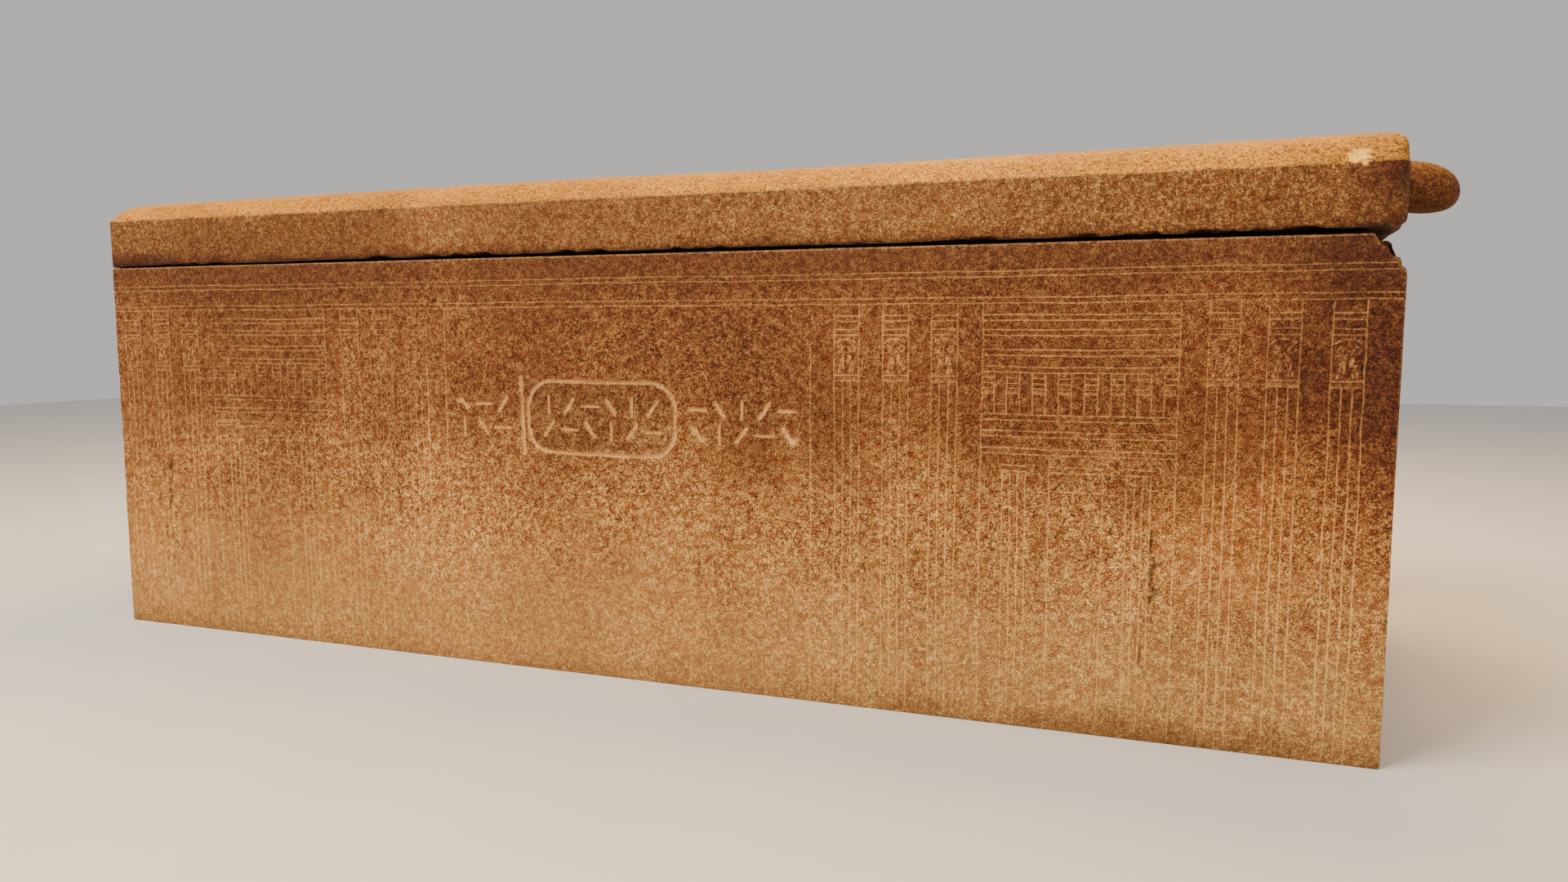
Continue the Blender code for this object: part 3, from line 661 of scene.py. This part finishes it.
def ground_granite(name, grains, feldspar, rust, tones, zones, patches, fresh, scratch_and_highlight):
    """Granite, ground flat with quartz sand and worn by hands: tight grains of feldspar, quartz
    and dark mica from 3 to 9 mm, which give an even speckle that stays matt, with cloudy
    stains. Cut lines show the crushed pale stone. Zones are given as (direction, start, end,
    edge, strength, colour, blend) and patches as (centre, radii, strength, colour, blend)."""
    material = bpy.data.materials.new(name)
    material.use_nodes = True
    tree = material.node_tree
    shader = tree.nodes["Principled BSDF"]
    place = added(tree, "TexCoord", {}).outputs["Object"]
    noises = {}
    for label, size, detail, roughness in (
        ("coarse", 0.0070, 2.0, 0.6), ("fine", 0.0027, 2.0, 0.65), ("iron", 0.016, 4.0, 0.65),
        ("cloud", 0.3, 4.0, 0.6), ("ragged", 0.12, 5.0, 0.62),
    ):
        inputs = {"Vector": place, "Scale": 1 / size, "Detail": detail, "Roughness": roughness}
        noises[label] = added(tree, "TexNoise", inputs).outputs["Fac"]

    # The grain: noise of 7 and 3 mm together picks the mineral, from dark mica to pale feldspar.
    both = added(tree, "Mix", {0: 0.72, 2: noises["coarse"], 3: noises["fine"]}).outputs[0]
    grain = added(tree, "MapRange", {0: both, 1: 0.39, 2: 0.61}).outputs[0]
    colour = added(tree, "ValToRGB", {0: grain}, stops=grains).outputs["Color"]

    # Single pale feldspars of 3 to 6 mm lie in it, one in four of the cells of a bent Voronoi.
    bend = added(tree, "TexNoise", {"Vector": place, "Scale": 1 / 0.007, "Detail": 2.0}).outputs["Color"]
    centred = added(tree, "VectorMath", {0: bend, 1: (0.5, 0.5, 0.5)}, operation="SUBTRACT").outputs[0]
    inputs = {0: centred, 1: (0.012, 0.012, 0.012), 2: place}
    bent = added(tree, "VectorMath", inputs, operation="MULTIPLY_ADD").outputs[0]
    cells = added(tree, "TexVoronoi", {"Vector": bent, "Scale": 1 / 0.0065})
    lot = added(tree, "SeparateColor", {0: cells.outputs["Color"]})
    chosen = added(tree, "MapRange", {0: lot.outputs["Red"], 1: 0.72, 2: 0.97}).outputs[0]
    inside = added(tree, "MapRange", {0: cells.outputs["Distance"], 1: 0.45, 2: 0.12, 4: 0.75}).outputs[0]
    speck = added(tree, "Math", {0: chosen, 1: inside}, operation="MULTIPLY").outputs[0]

    # Iron has reddened it in spots of 16 mm, and clouds of 300 mm shift its tone.
    iron = added(tree, "MapRange", {0: noises["iron"], 1: 0.44, 2: 0.62, 4: 0.8}).outputs[0]
    cloud = added(tree, "MapRange", {0: noises["cloud"], 1: 0.36, 2: 0.64}).outputs[0]
    tone = added(tree, "ValToRGB", {0: cloud}, stops=tones).outputs["Color"]

    # The scratched lines show crushed pale stone, broken up by the grain.
    broken_up = added(tree, "MapRange", {0: both, 1: 0.42, 2: 0.57, 3: 0.3, 4: 1.0}).outputs[0]
    scratched = added(tree, "Attribute", {}, attribute_name="scratched").outputs["Fac"]
    part_scratched = added(tree, "Math", {0: scratched, 1: broken_up}, operation="MULTIPLY").outputs[0]
    layers = [
        (speck, linear(feldspar), "MIX"), (iron, linear(rust), "MULTIPLY"), (1.0, tone, "MULTIPLY"),
        (part_scratched, linear(scratch_and_highlight), "MIX"),
    ]

    # Stains, dust, painted light and painted shade: each zone fades in between two distances along a
    # direction. Single patches of stain, wear and painted shade fade out towards the edge of an
    # ellipsoid. The edges wander.
    ragged = added(tree, "MapRange", {0: noises["ragged"], 1: 0.3, 2: 0.7, 3: -1.0, 4: 1.0}).outputs[0]
    fields = []
    for direction, *zone in zones:
        far = added(tree, "VectorMath", {0: place, 1: direction}, operation="DOT_PRODUCT").outputs["Value"]
        fields.append((far, *zone))
    for centre, radii, *patch in patches:
        offset = added(tree, "VectorMath", {0: place, 1: centre}, operation="SUBTRACT").outputs[0]
        offset = added(tree, "VectorMath", {0: offset, 1: radii}, operation="DIVIDE").outputs[0]
        far = added(tree, "VectorMath", {0: offset}, operation="LENGTH").outputs["Value"]
        fields.append((far, 1.0, 0.25, 0.35, *patch))
    for far, start, end, edge, strength, shade, blend in fields:
        far = added(tree, "Math", {0: ragged, 1: edge, 2: far}, operation="MULTIPLY_ADD").outputs[0]
        inputs = {0: far, 1: start, 2: end, 4: strength}
        share = added(tree, "MapRange", inputs, interpolation_type="SMOOTHSTEP").outputs[0]
        layers.append((share, linear(shade), blend))
    again = added(tree, "Math", {0: part_scratched, 1: 0.4}, operation="MULTIPLY").outputs[0]
    layers.append((again, linear(scratch_and_highlight), "MIX"))

    # The other marks: broken stone, pale wear and a painted highlight on arrises and upward faces, the
    # dirt in cracks, and painted shade along the seam and under the bosses.
    uneven = added(tree, "MapRange", {0: both, 1: 0.40, 2: 0.58, 3: 0.04, 4: 1.0}).outputs[0]
    kinds = (("broken", 0.9, fresh), ("rubbed_and_highlight", 0.45, scratch_and_highlight), ("stain_and_shade", 1.0, "20140b"))
    for label, strength, shade in kinds:
        mark = added(tree, "Attribute", {}, attribute_name=label).outputs["Fac"]
        part = added(tree, "Math", {0: mark, 1: strength}, operation="MULTIPLY").outputs[0]
        if label == "rubbed_and_highlight":
            part = added(tree, "Math", {0: part, 1: uneven}, operation="MULTIPLY").outputs[0]
        layers.append((part, linear(shade), "MIX"))

    # All of these lie over the grain, one on the other.
    for share, shade, blend in layers:
        inputs = {0: share, 6: colour, 7: shade}
        colour = added(tree, "Mix", inputs, data_type="RGBA", blend_type=blend).outputs[2]
    tree.links.new(colour, shader.inputs["Base Color"])

    # Hard grains are left proud by tenths of a millimetre, and the surface is matt all over.
    bump = added(tree, "Bump", {"Strength": 0.5, "Distance": 0.0012, "Height": grain}).outputs[0]
    tree.links.new(bump, shader.inputs["Normal"])
    gloss = added(tree, "MapRange", {0: noises["coarse"], 1: 0.35, 2: 0.65, 3: 0.85, 4: 0.65}).outputs[0]
    tree.links.new(gloss, shader.inputs["Roughness"])
    shader.inputs["Specular IOR Level"].default_value = 0.25
    shader.inputs["IOR"].default_value = 1.5
    return material


coffer_granite = ground_granite(
    "ground_red_granite",
    (
        (0.0, "50341a"), (0.2, "80552c"), (0.42, "ab773e"),
        (0.62, "c18e4e"), (0.82, "e0b670"), (1.0, "fae0a0"),
    ),
    "fae0a0", "cc8462", ((0.0, "d4c8ae"), (0.5, "e6dcc6"), (1.0, "fbf6e4")),
    (
        # Zones: paler with dust low down, darker at the very foot, and darker towards the rim.
        (UP, 0.36, 0.06, 0.08, 0.22, "d8ac68", "MIX"),
        (UP, 0.05, -0.01, 0.02, 0.4, "bcaea2", "MULTIPLY"),
        (UP, 0.30, 0.54, 0.08, 1.0, "c2aea0", "MULTIPLY"),
        (UP, 0.64, 0.76, 0.04, 1.0, "e7e1da", "MULTIPLY"),
        (UP, 0.700, 0.772, 0.012, 0.25, "58321a", "MIX"),
    ),
    (
        ((1.27, -0.48, 0.64), (0.26, 0.30, 0.30), 0.9, "b09474", "MULTIPLY"),
        ((1.25, -0.48, 0.50), (0.40, 0.30, 0.30), 0.5, "d4b090", "MULTIPLY"),
        ((0.70, -0.48, 0.56), (0.36, 0.30, 0.20), 0.5, "dcc8ae", "MULTIPLY"),
        ((1.03, -0.48, 0.34), (0.20, 0.20, 0.20), 0.8, "4c2c10", "ADD"),
        ((-1.22, -0.48, 0.34), (0.36, 0.30, 0.40), 0.7, "4c2e12", "ADD"),
        ((-0.40, -0.48, 0.12), (1.20, 0.30, 0.26), 0.6, "4c2e12", "ADD"),
        ((0.95, -0.48, 0.00), (0.60, 0.10, 0.065), 0.8, "d0cac2", "MULTIPLY"),
    ),
    "b07c48", "f0bc74",
)
coffer_piece.data.materials.append(coffer_granite)
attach(coffer_piece, "root")
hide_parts("coffer")


# The lid: one slab of the same granite with a low vault between rounded shoulders, and two
# lifting bosses left standing on each end. It lies loose on the rim. Its shoulder is spalled
# near the right end and its lower edge is chipped along the seam.

lid_low, lid_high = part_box("lid")
SEAT = lid_low[2]
CROWN = lid_high[2]
FACE_TOP = SEAT + 0.0987
RELIEF_DEPTH = 0.045
RELIEF_HEIGHT = 0.009
SHOULDER_WIDTH = 0.062
SHOULDER_HEIGHT = 0.0395
VAULT_RADIUS = 1.86
BOSS_SPACING = 0.46
BOSS_CENTRE = SEAT + 0.0925
BOSS_RADIUS = 0.0415
BOSS_REACH = 0.1115
BOSS_SINK = 0.012
HOLE_HALF = 0.06


def lid_section():
    """The lid's section as a closed loop of points (y, z) and outward directions. Its corners are
    rounded by a running mean along a fine outline, which is then thinned where it is plain."""
    t = np.linspace(0.0, 1.0, 40)
    half = HALF_WIDTH
    gap = half - RELIEF_DEPTH
    underside = np.array((
        (0.0, SEAT), (gap, SEAT), (gap + 0.006, SEAT + 0.8 * RELIEF_HEIGHT),
        (half, SEAT + RELIEF_HEIGHT), (half, FACE_TOP),
    ))
    inward = 2 * t * (1 - t) * 0.57 * SHOULDER_WIDTH + t * t * SHOULDER_WIDTH
    rise = 2 * t * (1 - t) * 0.85 * SHOULDER_HEIGHT + t * t * SHOULDER_HEIGHT
    shoulder = np.stack((half - inward, FACE_TOP + rise), -1)
    across = np.linspace(half - SHOULDER_WIDTH, 0.0, 60)
    vault = np.stack((across, CROWN - VAULT_RADIUS + np.sqrt(VAULT_RADIUS ** 2 - across ** 2)), -1)
    side = np.concatenate((underside, shoulder[1:], vault[1:]))
    outline = np.concatenate((side, (side * (-1.0, 1.0))[-2::-1]))
    gone = np.concatenate(([0.0], np.cumsum(np.linalg.norm(np.diff(outline, axis=0), axis=1))))
    count = 2400
    even = np.linspace(0.0, gone[-1], count + 1)[:-1]
    fine = np.stack([np.interp(even, gone, outline[:, k]) for k in (0, 1)], -1)
    fine = np.mean([np.roll(fine, shift, axis=0) for shift in (-2, -1, 0, 1, 2)], axis=0)
    plain = (fine[:, 1] < SEAT + 0.0005) | (fine[:, 0] > 0.0)
    plain &= np.abs(fine[:, 1] - FACE_TOP) > 0.012
    spacing = np.where(fine[:, 1] < SEAT + 0.0005, 0.03, np.where(plain, 0.013, 0.0065))
    spacing = np.where(np.abs(fine[:, 0]) < HALF_WIDTH - SHOULDER_WIDTH, 1.6 * spacing, spacing)
    spacing = np.where(np.abs(fine[:, 1] - FACE_TOP) < 0.005, 0.0017, spacing)
    spent = np.concatenate(([0.0], np.cumsum(even[1] / spacing)))
    picks = np.interp(np.arange(0.0, spent[-1] - 0.5), spent, np.arange(count + 1)).astype(int)
    tangent = np.roll(fine, -2, axis=0) - np.roll(fine, 2, axis=0)
    tangent = tangent / np.linalg.norm(tangent, axis=1)[:, None]
    normal = np.stack((tangent[:, 1], -tangent[:, 0]), -1)
    return fine[picks], normal[picks]


def lid_skin():
    """The section carried along X. At each end it shrinks on a quarter ellipse, which rounds the
    end's arris, and a cap closes it. The cap has a hole for each boss."""
    skin = Skin()
    section, normal = lid_section()
    # The left end is crisp. The right end's upright corners are worn round, the front one most.
    # Each end's rounding reaches this far along X and across, at the left and at the right.
    side = eased(share_of(section[:, 1], 0.925, 0.89)) * np.where(section[:, 0] < 0.0, 1.0, 0.4)
    along = (0.006 + 0 * side, 0.012 + 0.014 * side)
    across = (0.005 + 0 * side, 0.005 + 0.023 * side)
    zones = [(-0.78, -0.64, 0.005), (0.6, 1.22, 0.0055)]
    columns = stops((), 0.008 - HALF_LENGTH, HALF_LENGTH - 0.028, 0.008, zones)
    bend = np.linspace(0.0, pi / 2, 8)[1:, None]
    x = np.concatenate((
        -HALF_LENGTH + along[0] * (1.0 - np.sin(bend[::-1])),
        columns[:, None] + 0 * side,
        HALF_LENGTH - along[1] * (1.0 - np.sin(bend)),
    ))
    rounded = np.concatenate((1.0 - np.cos(bend[::-1]), 0 * columns[:, None], 1.0 - np.cos(bend)))
    inset = np.where(x < 0.0, across[0], across[1]) * rounded
    y = section[:, 0] * (1.0 - inset / HALF_WIDTH)
    above = (section[:, 1] - SEAT - 0.08) / 0.09
    near_front = eased(share_of(section[:, 0], -0.28, -0.42))
    low_round = np.where(x < 0.0, 0.005, 0.006 + 0.013 * near_front)
    high_round = np.where(x < 0.0, 0.007, 0.013)
    z = section[:, 1] - rounded * np.where(above > 0.0, high_round, low_round) * above
    # The arris of the front face steps up near the right end, where the shoulder has spalled.
    step = eased(share_of(x, 1.165, 1.185))
    z = z + 0.002 * step * np.exp(-(((section[:, 1] - FACE_TOP) / 0.013) ** 2)) * (section[:, 0] < -0.4)
    # The vault was ground by hand: it swells left of the middle, dips there, and rises again
    # towards the right end, by a few millimetres.
    swell = np.array((
        (-1.25, -0.0015), (-0.78, 0.0004), (-0.44, 0.0024), (-0.13, 0.0040), (0.02, 0.0020), (0.28, 0.0008),
        (0.53, 0.0026), (0.86, 0.0036), (1.06, 0.0050), (1.15, 0.0068), (1.25, 0.0072),
    ))
    rising = eased(share_of(section[:, 1], FACE_TOP, FACE_TOP + 0.03))
    z = z + np.interp(x, swell[:, 0], swell[:, 1]) * rising
    # The gap over the rim narrows towards the left, closes just before the left end, and is
    # widest at the right end.
    open_part = 0.62 - 0.3 * share_of(x, -0.6, -0.95) - 0.28 * share_of(x, -1.2, -1.23)
    open_part = open_part + 0.33 * share_of(x, 0.95, 1.15)
    low_part = share_of(section[:, 1] - SEAT, 0.05, RELIEF_HEIGHT)
    z = z - (1.0 - open_part) * np.minimum(section[:, 1] - SEAT, RELIEF_HEIGHT) * low_part
    places = np.stack((x, y, z), -1)
    direction = np.broadcast_to(np.insert(normal, 0, 0.0, axis=1), places.shape)
    uneven = layered_noise(places, ((0.0009, 0.24), (0.0006, 0.055), (0.0003, 0.018)), 61)
    on_side = np.abs(section[:, 0]) > 0.44
    upper_arris = np.exp(-(((section[:, 1] - FACE_TOP) / 0.006) ** 2)) * on_side
    lower_arris = np.exp(-(((section[:, 1] - SEAT - RELIEF_HEIGHT) / 0.004) ** 2)) * on_side
    nick = 0.004 * (lattice_noise(places, 0.04, 64) - 0.1).clip(0.0) * upper_arris
    ragged = layered_noise(places, ((1.0, 0.022), (0.6, 0.06)), 67)
    nick += 0.0045 * (ragged + 0.1).clip(0.0) * lower_arris
    depth = (uneven + nick) * (section[:, 1] > SEAT + 0.0006)
    marks = np.zeros((*y.shape, 4))
    # The underside and the relief over the rim get painted shade, for the dark seam.
    in_gap = share_of(section[:, 1] - SEAT - RELIEF_HEIGHT, 0.003, -0.001)
    marks[..., 2] = 0.9 * in_gap * (np.abs(section[:, 0]) > HALF_WIDTH - RELIEF_DEPTH - 0.01)
    # Over the coffer's lost corner the edge is open to the light, and gets no painted shade.
    marks[..., 2] *= np.where(section[:, 0] < 0.0, share_of(x, 1.238, 1.226), 1.0)
    # A thin line of painted shade runs along the arris at the top of each face.
    line = np.exp(-(((section[:, 1] - FACE_TOP) / 0.003) ** 2)) * on_side
    marks[..., 2] = np.maximum(marks[..., 2], 0.35 * line)
    # The vault and the shoulders get a painted highlight in patches, the more the further they face
    # upwards.
    patchy = 1.0 + layered_noise(places, ((0.3, 0.13), (0.3, 0.04)), 69)
    marks[..., 3] = eased(share_of(direction[..., 2], 0.1, 0.65)) * patchy
    numbers = skin.grid(places - depth[..., None] * direction, direction, marks, closed=True)
    for end, loop in ((-1, numbers[0]), (1, numbers[-1])):
        add_lid_end(skin, end, loop, section)
    return skin


def add_lid_end(skin, end, loop, section):
    """One end of the lid: rows between the seam and the vault, with a hole round each boss."""
    upper = section[section[:, 1] > FACE_TOP + 0.002]
    order = np.argsort(upper[:, 0])
    middles = (-BOSS_SPACING / 2, BOSS_SPACING / 2)
    y = stops([middle + k for middle in middles for k in (-HOLE_HALF, HOLE_HALF)], -0.452, 0.452, 0.02)
    top = np.interp(y, upper[order, 0], upper[order, 1]) - 0.022
    share = np.linspace(0.0, 1.0, 14)[:, None]
    z = (SEAT + 0.016) * (1.0 - share) + top * share
    places = np.stack((np.full(z.shape, end * HALF_LENGTH), np.broadcast_to(y, z.shape), z), -1)
    places[..., 0] -= end * 0.0008 * (1.0 + lattice_noise(places, 0.05, 65))
    holes = [np.flatnonzero(np.abs(y - middle) < HOLE_HALF + 0.0005) for middle in middles]
    skip = np.zeros((z.shape[0] - 1, z.shape[1] - 1), bool)
    for hole in holes:
        skip[1:-1, hole[0]:hole[-1]] = True
    outward = np.array((float(end), 0.0, 0.0))
    numbers = skin.cap(loop, places, outward, axes=(1, 2), skip=skip)
    for middle, hole in zip(middles, holes):
        add_boss(skin, end, middle, edge_loop(numbers[1:-1, hole[0]:hole[-1] + 1]))


def add_boss(skin, end, y, rim):
    """One lifting boss: circles about an axis along X, wide at the root, straight along the
    shank, then closing like a quarter ellipse. The axis sinks with the square of the reach."""
    dome = np.linspace(0.0, pi / 2, 13)[:-1, None]
    shank = np.array(((0.0, 0.003, 0.008, 0.016, 0.026, 0.037), (0.0035, 0.0015, 0.0005, 0.0, 0.0, 0.0)))
    reach = np.concatenate((shank[0, :, None], 0.048 + (BOSS_REACH - 0.048) * np.sin(dome)))
    radius = np.concatenate((BOSS_RADIUS + shank[1, :, None], BOSS_RADIUS * np.cos(dome) ** 0.85))
    angle = np.linspace(0.0, 2 * pi, 44, endpoint=False)
    outward = np.stack((0 * angle, np.cos(angle), np.sin(angle)), -1)
    height = BOSS_CENTRE - BOSS_SINK * (reach / BOSS_REACH) ** 2
    axis = np.stack((end * (HALF_LENGTH + reach), y + 0 * reach, height), -1)
    places = axis + radius[..., None] * outward
    lump = (0.0012 * lattice_noise(places, 0.03, 66) - 0.0004) * (reach > 0.001)
    places = places + lump[..., None] * outward
    marks = np.zeros((*places.shape[:2], 4))
    # The top of each boss gets a painted highlight and its underside painted shade.
    marks[..., 3] = 0.4 * np.sin(angle).clip(0.0, 1.0) ** 1.5
    marks[..., 2] = 0.3 * (-np.sin(angle)).clip(0.0, 1.0)
    numbers = skin.grid(places, outward, marks, closed=True)
    skin.join_loops(rim, numbers[0], axes=(1, 2))
    tip = np.array((end * (HALF_LENGTH + BOSS_REACH), y, BOSS_CENTRE - BOSS_SINK))
    skin.fan(numbers[-1], tip, np.array((float(end), 0.0, 0.0)))


skin = lid_skin()
places, marks = skin.places, skin.marks
front = -HALF_WIDTH
# The spall on the shoulder is four lumps, as (x, inward, height, reach).
spall = (
    (1.184, 0.008, 0.019, 0.013), (1.176, 0.006, 0.011, 0.009),
    (1.193, 0.011, 0.027, 0.010), (1.188, 0.002, 0.006, 0.008),
)
for number, (x, inward, height, reach) in enumerate(spall):
    place = np.array((x, front + inward, FACE_TOP + height))
    scooped(places, marks, place, reach * np.array((1.0, 1.2, 1.0)), 0.4, 171 + 2 * number)
# Chips along the seam, as (x, half length, height).
chips = (
    (0.645, 0.035, 0.006), (0.81, 0.022, 0.006), (0.905, 0.016, 0.008),
    (0.975, 0.024, 0.009), (1.02, 0.014, 0.006), (1.1, 0.03, 0.006),
)
for number, (x, reach, height) in enumerate(chips):
    place = np.array((x, front - 0.004, SEAT + 0.004))
    scooped(places, marks, place, (reach, 0.03, height), 0.4, 73 + 2 * number, 0.0)
lid_piece = finished_piece("lid_stone", skin, places, marks)
lid_granite = ground_granite(
    "ground_tan_granite",
    (
        (0.0, "664522"), (0.2, "84592c"), (0.42, "9c6b34"),
        (0.62, "ae7b40"), (0.82, "c89a56"), (1.0, "e8c886"),
    ),
    "ecc888", "dcae8c", ((0.0, "bcae9c"), (0.5, "d0c6b6"), (1.0, "e8e2da")),
    (
        # Painted shade darkens the face towards its lower edge, painted warm light tints the top golden,
        # and painted shade darkens both ends and their bosses.
        (UP, SEAT + 0.032, SEAT + 0.002, 0.012, 0.8, "b08c6c", "MULTIPLY"),
        (UP, FACE_TOP, FACE_TOP + 0.02, 0.002, 1.0, "fff8b4", "MULTIPLY"),
        ((1.0, 0.0, 0.0), 1.246, 1.262, 0.001, 1.0, "b89a7c", "MULTIPLY"),
        ((-1.0, 0.0, 0.0), 1.246, 1.262, 0.001, 1.0, "b89a7c", "MULTIPLY"),
    ),
    (
        ((1.15, -0.48, 0.84), (0.60, 0.10, 0.10), 0.4, "c8ae92", "MULTIPLY"),
        ((-0.75, -0.48, 0.82), (0.50, 0.10, 0.12), 0.5, "d0c0b0", "MULTIPLY"),
        # These two patches at the right end are painted shade on its worn round corner.
        ((1.24, -0.48, 0.82), (0.12, 0.10, 0.08), 0.6, "b89878", "MULTIPLY"),
        ((1.21, -0.46, 0.90), (0.13, 0.14, 0.07), 0.8, "b8926c", "MULTIPLY"),
        ((-1.20, -0.48, 0.80), (0.16, 0.06, 0.03), 0.8, "a87a62", "MULTIPLY"),
    ),
    # The fresh colour of the spall, then the colour of the painted highlight on upward faces.
    "ffd264", "ffb02c",
)
lid_piece.data.materials.append(lid_granite)
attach(lid_piece, "root")
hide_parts("lid")


# The floor: a plain pale sheet of matt card that the coffer stands on.

floor_mesh = bpy.data.meshes.new("floor")
reach = 9.0
corners = [(x * reach, y * reach, 0.0) for x, y in ((-1, -1), (1, -1), (1, 1), (-1, 1))]
floor_mesh.from_pydata(corners, [], [(0, 1, 2, 3)])
floor = bpy.data.objects.new("floor", floor_mesh)
bpy.context.scene.collection.objects.link(floor)
card = bpy.data.materials.new("matt_pale_card")
card.use_nodes = True
tree = card.node_tree
place = added(tree, "TexCoord", {}).outputs["Object"]
mottle = added(tree, "TexNoise", {"Vector": place, "Scale": 3.0}).outputs["Fac"]
pale = added(tree, "ValToRGB", {0: mottle}, stops=((0.0, "d3d0cb"), (1.0, "dedbd6"))).outputs["Color"]
tree.links.new(pale, tree.nodes["Principled BSDF"].inputs["Base Color"])
tree.nodes["Principled BSDF"].inputs["Roughness"].default_value = 0.85
floor_mesh.materials.append(card)


# The studio light: a large soft panel above and in front at the left, a wide weak one at the
# right, and an even pale surround.


def panel(name, place, aim, size, power, colour):
    """A square area light at a place, turned to face a point."""
    light = bpy.data.lights.new(name, "AREA")
    light.size = size
    light.energy = power
    light.color = linear(colour)[:3]
    made = bpy.data.objects.new(name, light)
    made.location = place
    made.rotation_euler = (Vector(aim) - Vector(place)).to_track_quat("-Z", "Y").to_euler()
    bpy.context.scene.collection.objects.link(made)


panel("key", (-1.4, -2.4, 4.6), (0.0, 0.0, 0.4), 2.4, 330.0, "fff0dc")
panel("fill", (3.4, -4.2, 1.8), (0.4, 0.0, 0.3), 3.0, 70.0, "fdf4ea")
panel("top", (0.4, 1.4, 4.2), (0.0, 0.0, 0.8), 2.4, 275.0, "ffcc7c")
surround = bpy.data.worlds.new("pale_surround")
surround.use_nodes = True
surround.node_tree.nodes["Background"].inputs["Color"].default_value = linear("e0dedb")
surround.node_tree.nodes["Background"].inputs["Strength"].default_value = 0.75
bpy.context.scene.world = surround


# The camera stands close to the right half, a little below the lid's level, and looks left.

lens = bpy.data.cameras.new("camera")
lens.lens = 24.444
lens.sensor_width = 36.0
camera = bpy.data.objects.new("camera", lens)
camera.location = (0.929, -2.208, 0.6425)
camera.rotation_euler = (pi / 2 - 0.1, 0.0, 0.342)
bpy.context.scene.collection.objects.link(camera)
bpy.context.scene.camera = camera
